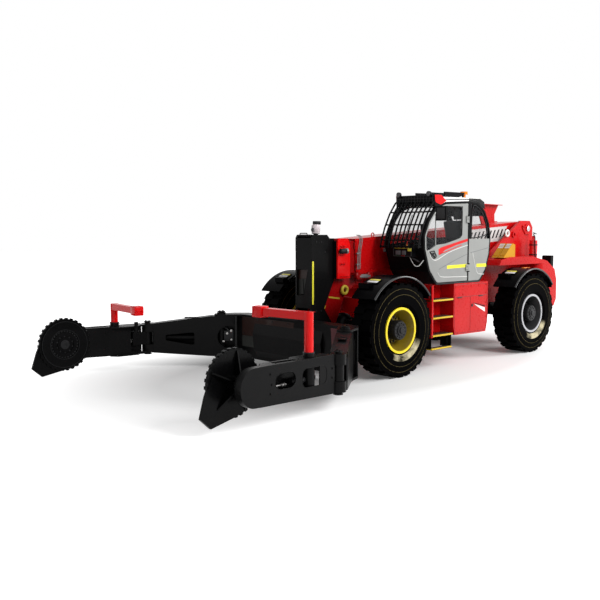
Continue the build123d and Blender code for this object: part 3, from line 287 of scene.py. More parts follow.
@dataclass(frozen=True)
class Paint(Finish):
    """Sprayed paint with a faint drift of shade, orange peel and a little dust low down."""

    colour: Colour
    roughness: float = 0.28
    metallic: float = 0.0
    coat: float = 0.04
    specular: float = 0.14
    dust: Colour = (0.3, 0.25, 0.2)
    dust_share: float = 0.03
    dust_top: float = 0.8
    peel: float = 0.02

    def layers(self, tree: Tree) -> Sock:
        """The paint's colour before dust, for finishes that add bands."""
        drift = tree.noise(1.3, 2.0)
        darker = tuple(0.9 * part for part in self.colour)
        return tree.mix(drift.ramp(0.4, 0.65), darker, self.colour)

    def shade(self, tree: Tree) -> None:
        """Set up the material's nodes."""
        _, _, height = tree.axes()
        grime = tree.noise(9.0, 5.0, 0.62).ramp(0.5, 0.8)
        mask = grime * height.ramp(0.1, self.dust_top, 1.0, 0.0) * self.dust_share
        tree.set(Base_Color=tree.mix(mask, self.layers(tree), self.dust))
        tree.set(Roughness=(mask * 0.5 + self.roughness) + tree.noise(26.0).ramp(0.3, 0.7, -0.03, 0.04))
        tree.set(Metallic=self.metallic, Coat_Weight=self.coat, Coat_Roughness=0.06, Specular_IOR_Level=self.specular)
        tree.bump(tree.noise(140.0, 2.0), self.peel, 0.002)


@dataclass(frozen=True)
class SplitPaint(Paint):
    """Paint with another colour outside a band of height, behind a place along the machine."""

    other: Colour = (0.01, 0.01, 0.01)
    low: float = 0.0
    high: float = 9.0
    ahead: float = 99.0

    def layers(self, tree: Tree) -> Sock:
        """The main colour between the two heights or ahead of the place, and the other elsewhere."""
        along, _, height = tree.axes()
        return tree.mix(height.between(self.low, self.high).larger(along.above(self.ahead)), self.other, self.colour)


@dataclass(frozen=True)
class WheelPaint(Paint):
    """Rim paint: a bright flange, a darker cone and a black hub, by distance from the axle."""

    axle: float = FRONT_AXLE
    cone: Colour = (0.02, 0.02, 0.02)
    hub: Colour = (0.02, 0.02, 0.02)
    flange: float = 0.325
    foot: float = 0.16

    def layers(self, tree: Tree) -> Sock:
        """The colour by distance from the axle."""
        along, _, height = tree.axes()
        up = height - AXLE_HEIGHT
        out = along - self.axle
        radius = (out * out + up * up).root()
        # The dish between flange and hub is painted darker as its shade, with noise blotches darkened further towards
        # the hub's black.
        dark_blotches = tree.noise(24.0, 4.0).ramp(0.55, 0.8) * 0.4
        inner = tree.mix(radius.ramp(self.foot - 0.004, self.foot + 0.004), self.hub,
                         tree.mix(dark_blotches, self.cone, self.hub))
        return tree.mix(radius.ramp(self.flange - 0.006, self.flange + 0.006), inner, self.colour)


@dataclass(frozen=True)
class BandPaint(Paint):
    """Boom paint with a dark band of pale slanting blocks near the tower."""

    along: Flat = (-3.9, -2.55)
    band: Flat = (-0.2, 0.085)
    blocks: Flat = (-0.13, 0.03)
    pitch: float = 48.0
    lean: float = 0.6
    web: float = 0.255

    def layers(self, tree: Tree) -> Sock:
        """Red, with the blocks inside the band on the boom's side."""
        along, across, height = tree.axes()
        rise = height + (along - BOOM_PIVOT[0]) * math.tan(BOOM_SLOPE) - BOOM_PIVOT[1]
        slant = along + rise * self.lean
        band = slant.between(*self.along) * rise.between(*self.band) * across.absolute().above(self.web)
        blocks = (slant * self.pitch).sine().above(0.25) * rise.between(*self.blocks)
        marks = tree.mix(blocks, (0.58, 0.56, 0.55), (0.012, 0.01, 0.012))
        return tree.mix(band, super().layers(tree), marks)


@dataclass(frozen=True)
class Rubber(Finish):
    """Tyre rubber with thin ochre rings on its walls and a fine moulded grain."""

    axle: float
    rings: Flat = (0.565, 0.655)
    ring_width: float = 0.003
    scuffed: bool = False
    scuff: Flat = (0.388, 0.485)
    groove_pitch: float = 420.0

    def shade(self, tree: Tree) -> None:
        """Set up the material's nodes."""
        along, across, height = tree.axes()
        out, up = along - self.axle, height - AXLE_HEIGHT
        radius = (out * out + up * up).root()
        wall = (across.absolute() - WHEEL_SIDE).absolute().above(0.15)
        blotch = tree.noise(7.0, 5.0).ramp(0.35, 0.75)
        rubber = tree.mix(blotch, (0.0003, 0.0003, 0.0004), (0.0011, 0.0011, 0.0013))
        inner, outer = ((radius - place).absolute().below(self.ring_width) for place in self.rings)
        rings = inner.larger(outer)
        broken = tree.noise(16.0, 4.0).above(0.42)
        rubber = tree.mix(rings * wall * (broken * 0.15 + 0.04), rubber, (0.46, 0.37, 0.16))
        if self.scuffed:
            lower = (out * -0.34 + up * -0.94) / radius
            outside = across.absolute().above(WHEEL_SIDE)
            patch = lower.ramp(0.66, 0.84) * radius.between(*self.scuff) * outside
            rubber = tree.mix(patch * tree.noise(6.0, 4.0).ramp(0.32, 0.6), rubber, (0.56, 0.5, 0.33))
        tree.set(Base_Color=rubber, Roughness=blotch * 0.12 + 0.55, Specular_IOR_Level=0.012)
        grooves = (radius * self.groove_pitch).sine() * wall
        tree.bump(grooves * 0.15 + tree.noise(120.0, 4.0) * 0.5, 0.35, 0.003)


@dataclass(frozen=True)
class Glass(Finish):
    """Tinted safety glass."""

    tint: Colour = (0.05, 0.055, 0.06)
    alpha: float = 0.07

    def shade(self, tree: Tree) -> None:
        """Set up the material's nodes."""
        smear = tree.noise(4.0, 3.0)
        tree.set(Base_Color=tree.mix(smear, self.tint, tuple(0.8 * part for part in self.tint)))
        tree.set(Roughness=smear.ramp(0.3, 0.8, 0.02, 0.07),
                 Alpha=smear.ramp(0.2, 0.9, self.alpha, self.alpha + 0.06))
        tree.set(IOR=1.5, Coat_Weight=0.3)


@dataclass(frozen=True)
class Cloth(Finish):
    """Seat cloth with a fine weave."""

    colour: Colour
    pitch: float = 900.0

    def shade(self, tree: Tree) -> None:
        """Set up the material's nodes."""
        along, across, height = tree.axes()
        weave = (along * self.pitch).sine() * (across * self.pitch).sine() * (height * self.pitch + 1.5).sine()
        lighter = tuple(1.7 * part for part in self.colour)
        tree.set(Base_Color=tree.mix(weave.ramp(-0.6, 0.6), self.colour, lighter), Roughness=0.9)
        tree.bump(weave, 0.3, 0.001)


@dataclass(frozen=True)
class Moulded(Finish):
    """Moulded plastic, rubber or cast metal with a fine grain."""

    colour: Colour
    roughness: float = 0.5
    metallic: float = 0.0
    grain: float = 160.0
    depth: float = 0.15
    glow: float = 0.0
    specular: float = 0.2

    def shade(self, tree: Tree) -> None:
        """Set up the material's nodes."""
        shade = tree.noise(6.0, 4.0)
        tree.set(Base_Color=tree.mix(shade.ramp(0.3, 0.7), tuple(0.88 * part for part in self.colour), self.colour))
        tree.set(Roughness=tree.noise(30.0).ramp(0.3, 0.7, max(0.05, self.roughness - 0.05), self.roughness + 0.06))
        tree.set(Metallic=self.metallic, Specular_IOR_Level=self.specular)
        if self.glow:
            tree.set(Emission_Color=self.colour, Emission_Strength=self.glow)
        tree.bump(tree.noise(self.grain, 3.0), self.depth, 0.001)


class Finishes:
    """Every finish by name, built once."""

    def __init__(self) -> None:
        """List the finishes."""
        red = (0.53, 0.0034, 0.0042)
        dark = {"coat": 0.02, "roughness": 0.3, "specular": 0.05, "dust_share": 0.008}
        made = [
            Paint("body_red", red),
            BandPaint("boom_red", red),
            # A darker copy of the body red, as painted shade on the boom's nose and on the eyes under it.
            Paint("nose_red_shaded", (0.3, 0.003, 0.004)),
            Paint("deep_red", (0.16, 0.004, 0.005)),
            Paint("plate_brown", (0.02, 0.008, 0.006), roughness=0.4, coat=0.1),
            Paint("plate_grey", (0.026, 0.027, 0.025), roughness=0.45, coat=0.0),
            Paint("plate_rose", (0.115, 0.035, 0.04), roughness=0.4, coat=0.0),
            Paint("post_red", (0.78, 0.004, 0.005), roughness=0.22),
            Paint("handler_black", (0.005, 0.005, 0.0052), **dark),
            Paint("frame_black", (0.0035, 0.0035, 0.004), **dark),
            Paint("fender_black", (0.0012, 0.0012, 0.0015), coat=0.0, specular=0.015, dust_share=0.004),
            Paint("lip_black", (0.006, 0.006, 0.007), roughness=0.24, coat=0.25, specular=0.35),
            Paint("cab_silver", (0.285, 0.29, 0.28), metallic=0.1, roughness=0.36, coat=0.1),
            # A lighter copy of the cab silver, as painted highlight along the raised swage lines.
            Paint("swage_highlight_silver", (0.62, 0.62, 0.6), metallic=0.1, roughness=0.35),
            # A dark grey for beads painted as the shade in pressed creases.
            Paint("crease_shade_grey", (0.15, 0.155, 0.16), roughness=0.45, coat=0.0),
            SplitPaint("roof_white", (0.74, 0.74, 0.72), low=2.852, ahead=FRONT_AXLE - 1.78),
            SplitPaint("camera_white", (0.7, 0.62, 0.64), low=2.262, high=2.405),
            # Both rims' dishes are darkened as painted shade.
            WheelPaint("rim_yellow", (0.86, 0.66, 0.02), roughness=0.36, coat=0.2, cone=(0.16, 0.11, 0.006),
                       hub=(0.035, 0.028, 0.01)),
            WheelPaint("rim_silver", (0.42, 0.42, 0.44), metallic=0.35, roughness=0.36, axle=REAR_AXLE,
                       cone=(0.014, 0.014, 0.015), hub=(0.01, 0.01, 0.011)),
            Paint("chock_yellow", (0.56, 0.27, 0.01), roughness=0.4),
            Paint("extinguisher_red", (0.66, 0.01, 0.012), roughness=0.2, coat=0.6),
            Paint("pad_steel", (0.0016, 0.0016, 0.0018), **dark),
            Moulded("dash_plastic", (0.018, 0.018, 0.019), 0.55),
            Moulded("engine_grey", (0.16, 0.16, 0.165), 0.55, metallic=0.6, grain=60.0, depth=0.4),
            Moulded("rod_chrome", (0.72, 0.72, 0.73), 0.12, metallic=1.0, depth=0.02),
            Moulded("beacon_orange", (0.9, 0.26, 0.02), 0.2, glow=0.1),
            Moulded("lens_clear", (0.75, 0.76, 0.76), 0.12, grain=90.0),
            Moulded("lens_amber", (0.85, 0.42, 0.03), 0.15, grain=90.0),
            Moulded("lens_red", (0.6, 0.01, 0.01), 0.15, grain=90.0),
            Moulded("lamp_yellow", (0.86, 0.78, 0.1), 0.3, grain=90.0),
            Moulded("screen_grey", (0.1, 0.1, 0.105), 0.2, depth=0.03),
            Moulded("signal_green", (0.01, 0.13, 0.03), 0.3),
            Moulded("hose_black", (0.01, 0.01, 0.011), 0.42),
            Moulded("pipe_grey", (0.3, 0.28, 0.28), 0.3, metallic=0.6, depth=0.05),
            Moulded("bolt_steel", (0.4, 0.39, 0.38), 0.32, metallic=0.9, depth=0.1),
            Moulded("bolt_black", (0.012, 0.012, 0.013), 0.35, metallic=0.3, depth=0.1),
            Moulded("seal_rubber", (0.012, 0.012, 0.013), 0.6, depth=0.1),
            Moulded("stripe_red", (0.66, 0.01, 0.012), 0.35, depth=0.03),
            Moulded("stripe_yellow", (0.86, 0.8, 0.05), 0.35, depth=0.03),
            Moulded("tread_yellow", (0.68, 0.46, 0.03), 0.45, depth=0.25),
            Moulded("lashing_yellow", (0.5, 0.38, 0.04), 0.4, depth=0.1),
            Moulded("stripe_white", (0.78, 0.78, 0.76), 0.35, depth=0.03),
            Moulded("mirror_silver", (0.7, 0.72, 0.74), 0.06, metallic=1.0, depth=0.0),
            Cloth("seat_fabric", (0.055, 0.058, 0.06)),
            Glass("glass"),
        ]
        self.materials = {finish.name: finish.build() for finish in made}
        # boom_inner swaps to the red darkened as painted shade.
        self.swaps = {"mast_camera": "camera_white", "boom_outer": "boom_red", "head_plates": "post_red",
                      "boom_inner": "nose_red_shaded", "rear_lamps": "frame_black", "mirror": "frame_black",
                      **{f"knuckle_{place}": "fender_black" for place in WHEELS}}

    def get(self, name: str) -> bpy.types.Material:
        """The material of that name."""
        return self.materials[name]

    def dress_frame(self, record: dict, nodes: dict[str, Piece]) -> None:
        """Give each fixed node the finish of its slot.

        Args:
            record: the packed record.
            nodes: the fixed nodes by name.
        """
        slots = {entry["node"]: entry["material_slot"] for entry in record["subparts"]}
        for name, node in nodes.items():
            if slots[name] == "tyre":
                place = name.removeprefix("tyre_")
                finish = Rubber(f"rubber_{name}", WHEELS[place][0], scuffed=place.endswith("left")).build()
            else:
                finish = self.get(self.swaps.get(name, slots[name]))
            if not node.material_slots:
                node.data.materials.append(finish)
            for index in range(len(node.material_slots)):
                node.material_slots[index].material = finish
        LOG.info("dressed %d fixed nodes", len(nodes))


# ---------------------------------------------------------------- modelling one by one
class Workshop:
    """Shapes pieces with operators and hands each over with its place in its mesh."""

    def __init__(self, finishes: Finishes) -> None:
        """Keep the finishes."""
        self.finishes = finishes

    @staticmethod
    def clear() -> None:
        """Deselect everything."""
        bpy.ops.object.select_all(action="DESELECT")

    @staticmethod
    def settled() -> Piece:
        """Apply the active piece's place to its mesh."""
        bpy.ops.object.transform_apply(location=True, rotation=True, scale=True)
        return bpy.context.object

    @staticmethod
    def edit(action: str, kind: str = "") -> None:
        """Enter edit mode and select all or nothing, as edges or faces where a kind is given."""
        bpy.ops.object.mode_set(mode="EDIT")
        if kind:
            bpy.ops.mesh.select_mode(type=kind)
        bpy.ops.mesh.select_all(action=action)

    @staticmethod
    def leave() -> Piece:
        """Leave edit mode and hand back the active piece."""
        bpy.ops.object.mode_set(mode="OBJECT")
        return bpy.context.object

    @staticmethod
    def soften(width: float, segments: int = 2, sharpness: float = 30.0) -> Piece:
        """Bevel the active piece's sharp edges.

        Args:
            width: the bevel's width.
            segments: its rows of faces.
            sharpness: the angle in degrees above which an edge is bevelled.

        Returns:
            The piece.
        """
        Workshop.edit("DESELECT", "EDGE")
        bpy.ops.mesh.edges_select_sharp(sharpness=math.radians(sharpness))
        bpy.ops.mesh.bevel(offset=width, segments=segments, affect="EDGES", clamp_overlap=True)
        return Workshop.leave()

    def block(self, low: Point, high: Point, soft: float = 0.004) -> Piece:
        """A block between two corners, with rounded edges."""
        self.clear()
        middle, span = middle_and_span(low, high)
        bpy.ops.mesh.primitive_cube_add(size=1.0, location=middle, scale=span)
        self.settled()
        return self.soften(min(soft, SOFT_SHARE * min(span)))

    def row(self, low: Point, high: Point, count: int, step: Point, soft: float = 0.001) -> list[Piece]:
        """Equal blocks at even steps, the first of them between two corners."""
        shifts = [Vector(step) * number for number in range(count)]
        return [self.block(Vector(low) + shift, Vector(high) + shift, soft) for shift in shifts]

    def rod(self, start: Point, end: Point, radius: float, sides: int = 24, soft: float = 0.002) -> Piece:
        """A round bar between two points, with softened ends."""
        self.clear()
        a, b = Vector(start), Vector(end)
        turn = (b - a).to_track_quat("Z", "Y").to_euler()
        bpy.ops.mesh.primitive_cylinder_add(
            vertices=sides, radius=radius, depth=(b - a).length, location=(a + b) / 2, rotation=turn)
        self.settled()
        return self.soften(min(soft, SOFT_SHARE * radius, SOFT_SHARE * (b - a).length), sharpness=60.0)

    def plate(self, outline: Sequence[Flat], axis: Axis, near: float, far: float, soft: float = 0.0015) -> Piece:
        """A flat plate cut to an outline.

        Args:
            outline: the corners, across the axis.
            axis: the axis that the plate lies across.
            near: where it starts along the axis.
            far: where it ends along the axis.
            soft: the width of its rounded edges.

        Returns:
            The plate.
        """
        self.clear()
        bpy.ops.mesh.primitive_circle_add(vertices=len(outline), radius=1.0, fill_type="NGON")
        piece = bpy.context.object
        for vertex, (first, second) in zip(piece.data.vertices, outline):
            vertex.co = axis.point(first, second, near)
        self.edit("SELECT")
        bpy.ops.mesh.extrude_region_move(TRANSFORM_OT_translate={"value": axis.point(0.0, 0.0, far - near)})
        bpy.ops.mesh.select_all(action="SELECT")
        bpy.ops.mesh.normals_make_consistent(inside=False)
        self.leave()
        return self.soften(min(soft, SOFT_SHARE * abs(far - near)), 1)

    def turned(self, profile: Sequence[Flat], centre: Point, direction: Point, sides: int = 32) -> Piece:
        """A turned piece, from a profile spun round a line.

        Args:
            profile: (radius, distance along) points, from the line back to the line or as a closed ring.
            centre: where the line starts.
            direction: where the line points.
            sides: steps of the spin.

        Returns:
            The turned piece.
        """
        self.clear()
        bpy.ops.mesh.primitive_circle_add(vertices=len(profile), radius=1.0, fill_type="NOTHING")
        piece = bpy.context.object
        for vertex, (radius, along) in zip(piece.data.vertices, profile):
            vertex.co = (radius, 0.0, along)
        if profile[0][0] == 0.0 and profile[-1][0] == 0.0:
            self.edit("DESELECT", "EDGE")
            self.leave()
            ends = {0, len(profile) - 1}
            for edge in piece.data.edges:
                edge.select = set(edge.vertices) == ends
            bpy.ops.object.mode_set(mode="EDIT")
            bpy.ops.mesh.delete(type="EDGE")
            self.leave()
        self.edit("SELECT")
        bpy.ops.mesh.spin(steps=sides, angle=math.tau, center=(0, 0, 0), axis=(0, 0, 1))
        bpy.ops.mesh.select_all(action="SELECT")
        bpy.ops.mesh.remove_doubles(threshold=MERGE)
        bpy.ops.mesh.normals_make_consistent(inside=False)
        self.leave()
        piece.data.transform(facing(centre, direction))
        return piece

    def cap(self, profile: Sequence[Flat], centre: Point, direction: Point, sides: int = 32) -> Piece:
        """A turned piece with flat ends, from the profile of its edge."""
        return self.turned([(0.0, profile[0][1]), *profile, (0.0, profile[-1][1])], centre, direction, sides)

    def tube(self, points: Sequence[Point], radius: float, order: int = 3, rings: int = 2) -> Piece:
        """A clamped pipe, bead or hose along a smooth line.

        Args:
            points: the line's control points.
            radius: half its thickness.
            order: 2 for straight runs, 3 for a smooth line.
            rings: how finely it is rounded.

        Returns:
            The tube.
        """
        self.clear()
        bpy.ops.curve.primitive_nurbs_path_add()
        piece = bpy.context.object
        curve = piece.data
        curve.splines.clear()
        spline = curve.splines.new("NURBS")
        spline.points.add(len(points) - 1)
        for point, place in zip(spline.points, points):
            point.co = (*place, 1.0)
        spline.order_u, spline.use_endpoint_u = order, True
        curve.resolution_u, curve.use_fill_caps = TUBE_STEPS, True
        curve.bevel_depth, curve.bevel_resolution = radius, rings
        bpy.ops.object.convert(target="MESH")
        return self.settled()

    def bead(self, line: Iterable[Flat], side: float, radius: float, order: int = 3, rings: int = 2) -> Piece:
        """A tube along side-view points ahead of the front axle, in millimetres."""
        return self.tube(lifted(ahead(*line), side), radius, order, rings)

    def strip(self, line: Iterable[Flat], side: float, thick: float = PATCH_THICK) -> Piece:
        """A thin painted patch on the left, with corners ahead of the front axle in millimetres."""
        return self.plate(ahead(*line), Axis.Y, side, side + thick, PATCH_EDGE)

    def ring(self, radius: float, thick: float, centre: Point) -> Piece:
        """A lashing ring that faces sideways, with a ten-sided section."""
        steps = [math.tau * step / 10 for step in range(10)]
        profile = [(radius + thick * math.cos(angle), thick * math.sin(angle)) for angle in steps]
        made = self.turned(profile, (0, 0, 0), (0, 0, 1), 28)
        return self.moved(made, turn_at(centre, QUARTER_TURN, "X"))

    def bolt(self, size: float) -> Piece:
        """A hexagon bolt head on a washer, pointing up at the origin."""
        self.clear()
        bpy.ops.mesh.primitive_cylinder_add(vertices=6, radius=size, depth=0.7 * size, location=(0, 0, 0.5 * size))
        self.settled()
        self.edit("DESELECT", "FACE")
        head = self.leave()
        for face in head.data.polygons:
            face.select = face.normal.z > 0.9
        bpy.ops.object.mode_set(mode="EDIT")
        bpy.ops.mesh.inset(thickness=0.12 * size)
        bpy.ops.transform.translate(value=(0, 0, 0.1 * size))
        self.leave()
        washer = self.rod((0, 0, 0), (0, 0, 0.16 * size), 1.35 * size, sides=14, soft=0.05 * size)
        return self.joined([head, washer])

    def joined(self, pieces: Sequence[Piece]) -> Piece:
        """Join pieces into one."""
        self.clear()
        for piece in pieces:
            piece.select_set(True)
        bpy.context.view_layer.objects.active = pieces[0]
        if len(pieces) > 1:
            bpy.ops.object.join()
        return bpy.context.object

    def moved(self, piece: Piece, matrix: Matrix) -> Piece:
        """Move a piece's mesh, and turn its faces out again after a mirror."""
        piece.data.transform(matrix)
        if matrix.determinant() < 0:
            piece.data.flip_normals()
        return piece

    def placed(self, pieces: Iterable[Piece], matrix: Matrix) -> list[Piece]:
        """Move several pieces alike."""
        return [self.moved(piece, matrix) for piece in pieces]

    def copied(self, piece: Piece, matrices: Iterable[Matrix], keep: bool = False) -> list[Piece]:
        """Copies of a piece, each with its own mesh.

        Args:
            piece: the modelled piece.
            matrices: where each copy goes.
            keep: whether the first piece stays.

        Returns:
            The copies.
        """
        made = []
        for matrix in matrices:
            twin = piece.copy()
            twin.data = piece.data.copy()
            bpy.context.collection.objects.link(twin)
            made.append(self.moved(twin, matrix))
        if not keep:
            bpy.data.objects.remove(piece)
        return made

    def mirrored(self, pieces: Iterable[Piece]) -> list[Piece]:
        """Pieces on the left and their mirror images on the right."""
        kept = list(pieces)
        return [*kept, *(twin for piece in kept for twin in self.copied(piece, [TO_RIGHT], keep=True))]

    def bolts(self, size: float, direction: Point, places: Iterable[Point]) -> list[Piece]:
        """One bolt, modelled once and copied to each place.

        Args:
            size: half the width across the head's corners.
            direction: where the heads point.
            places: the foot of each bolt.

        Returns:
            The bolts.
        """
        return self.copied(self.bolt(size), [facing(place, direction) for place in places])

    def deliver(self, name: str, finish: str, pieces: Sequence[Piece], body: str = "chassis",
                smooth: float = 35.0) -> Piece:
        """Join, name, smooth and dress pieces, and let them ride on a body.

        Args:
            name: the finished piece's name.
            finish: its finish.
            pieces: what it is joined from.
            body: the body it moves with.
            smooth: the angle in degrees below which edges look round.

        Returns:
            The finished piece.
        """
        piece = self.joined(pieces)
        piece.name = piece.data.name = name
        bpy.ops.object.shade_smooth_by_angle(angle=math.radians(smooth))
        piece.data.materials.clear()
        piece.data.materials.append(self.finishes.get(finish))
        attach(piece, body)
        LOG.info("made %s on %s, %d faces", name, body, len(piece.data.polygons))
        return piece

    def each_wheel(self, name: str, finish: str, piece: Piece, body: str) -> None:
        """Deliver a copy of a left front piece at each wheel, in the rim's finish where none is given."""
        matrices = wheel_matrices()
        for place, copy in zip(matrices, self.copied(piece, matrices.values())):
            rim = "rim_yellow" if place.startswith("front") else "rim_silver"
            self.deliver(f"{name}_{place}", finish or rim, [copy], body.format(place))

    def both_sides(self, name: str, finish: str, pieces: Sequence[Piece], body: str) -> None:
        """Deliver a piece on the left and its mirror image on the right, on bodies named for the side."""
        left = self.joined(pieces)
        twin = self.copied(left, [TO_RIGHT], keep=True)
        self.deliver(f"{name}_left", finish, [left], body.format("left"))
        self.deliver(f"{name}_right", finish, twin, body.format("right"))


def at(x: float, y: float, z: float) -> Point:
    """A point given ahead of the front axle, to the left and up."""
    return (FRONT_AXLE + x, y, z)


def turn_at(place: Point, angle: float, axis: str) -> Matrix:
    """A turn about one axis at a place."""
    return Matrix.Translation(place) @ Matrix.Rotation(angle, 4, axis)


def facing(place: Point, direction: Point) -> Matrix:
    """From upright at the origin to a direction at a place."""
    return Matrix.Translation(place) @ Vector(direction).to_track_quat("Z", "Y").to_matrix().to_4x4()


def middle_and_span(low: Point, high: Point) -> tuple[list[float], list[float]]:
    """The middle and the size of a box between two corners."""
    return [(a + b) / 2 for a, b in zip(low, high)], [b - a for a, b in zip(low, high)]


def ahead(*points: Flat) -> list[Flat]:
    """Side-view points given in millimetres ahead of the front axle, in metres."""
    return [(FRONT_AXLE + x / 1000.0, z / 1000.0) for x, z in points]


def on_boom(along: float, up: float) -> Flat:
    """A point given along and above the boom's own line, as (forward, height)."""
    slope = (math.cos(BOOM_SLOPE), math.sin(BOOM_SLOPE))
    return (BOOM_PIVOT[0] + along * slope[0] + up * slope[1], BOOM_PIVOT[1] - along * slope[1] + up * slope[0])


def lifted(line: Iterable[Flat], side: float) -> list[Point]:
    """A side-view line as points at a distance to the left."""
    return [(x, side, z) for x, z in line]


def ring_places(centre: Flat, radius: float, count: int, side: float, start: float = 0.0) -> list[Point]:
    """Even places round a side-view centre, at a distance to the left."""
    angles = [start + math.tau * step / count for step in range(count)]
    return [(centre[0] + radius * math.cos(angle), side, centre[1] + radius * math.sin(angle)) for angle in angles]


def rounded_box(middle: Flat, half: Flat, corner: float, side: float) -> list[Point]:
    """A closed line round a side-view box with round corners, at a distance to the left."""
    line = []
    for quarter, (right, up) in enumerate(((1, 1), (-1, 1), (-1, -1), (1, -1))):
        x, z = middle[0] + (half[0] - corner) * right, middle[1] + (half[1] - corner) * up
        for step in range(5):
            angle = QUARTER_TURN * (quarter + step / 4)
            line.append((x + corner * math.cos(angle), side, z + corner * math.sin(angle)))
    return [*line, line[0]]


def wheel_matrices() -> dict[str, Matrix]:
    """From the left front wheel to each wheel's place, by its name."""
    return {place: Matrix.Translation((axle - FRONT_AXLE, 0, 0)) @ Matrix.Scale(side, 4, (0, 1, 0))
            for place, (axle, side) in WHEELS.items()}


# ---------------------------------------------------------------- wheels
@dataclass
class WheelDetails:
    """Wheel nuts, hub drum, hub bolts, cap, ribs and valve of one wheel, built on the left front."""

    nut_circle: float = 0.196
    nut_count: int = 20
    hub_circle: float = 0.112
    hub_bolts: int = 12
    nut_face: float = WHEEL_SIDE - 0.02
    hub_face: float = WHEEL_SIDE + 0.18

    def hub_cap(self, shop: Workshop) -> Piece:
        """A stepped cap in the middle of the hub."""
        edge = [(0.085, 0.0), (0.085, 0.01), (0.078, 0.018), (0.052, 0.018), (0.048, 0.03), (0.04, 0.036)]
        return shop.cap(edge, at(0, self.hub_face, AXLE_HEIGHT), (0, 1, 0))

    def ribs(self, shop: Workshop) -> list[Piece]:
        """Cast ribs that run out from the hub over the disc."""
        rib = shop.block((0.15, -0.03, -0.009), (0.232, 0.006, 0.009), 0.004)
        hub = at(0, self.nut_face + 0.012, AXLE_HEIGHT)
        return shop.copied(rib, [turn_at(hub, math.tau * (step + 0.5) / 10, "Y") for step in range(10)])

    def valve(self, shop: Workshop) -> list[Piece]:
        """The valve stem with its cap and a bent foot."""
        y = self.nut_face + 0.08
        foot = at(0.262, y - 0.035, AXLE_HEIGHT + 0.085)
        knee = at(0.285, y + 0.012, AXLE_HEIGHT + 0.092)
        tip = at(0.248, y + 0.048, AXLE_HEIGHT + 0.08)
        return [shop.tube([foot, knee, tip], 0.006), shop.rod(knee, tip, 0.0085, 10)]

    def build(self, shop: Workshop) -> None:
        """Build the fittings once and hand a copy to each wheel."""
        axle = (FRONT_AXLE, AXLE_HEIGHT)
        nuts = shop.bolts(0.018, (0, 1, 0), ring_places(axle, self.nut_circle, self.nut_count, self.nut_face))
        drum = shop.cap([(0.15, -0.19), (0.156, -0.12), (0.156, -0.022), (0.142, 0.0)],
                        at(0, self.hub_face, AXLE_HEIGHT), (0, 1, 0), 40)
        hub_cap = self.hub_cap(shop)
        hub_bolts = shop.bolts(0.011, (0, 1, 0),
                               ring_places(axle, self.hub_circle, self.hub_bolts, self.hub_face, 0.2))
        for name, finish, pieces in (
            ("wheel_nuts", "bolt_black", nuts),
            ("hub_cap", "bolt_black", [drum, hub_cap, *hub_bolts]),
            ("disc_ribs", "", self.ribs(shop)),
            ("tyre_valve", "bolt_steel", self.valve(shop)),
        ):
            shop.each_wheel(name, finish, shop.joined(pieces), "wheel_{}")


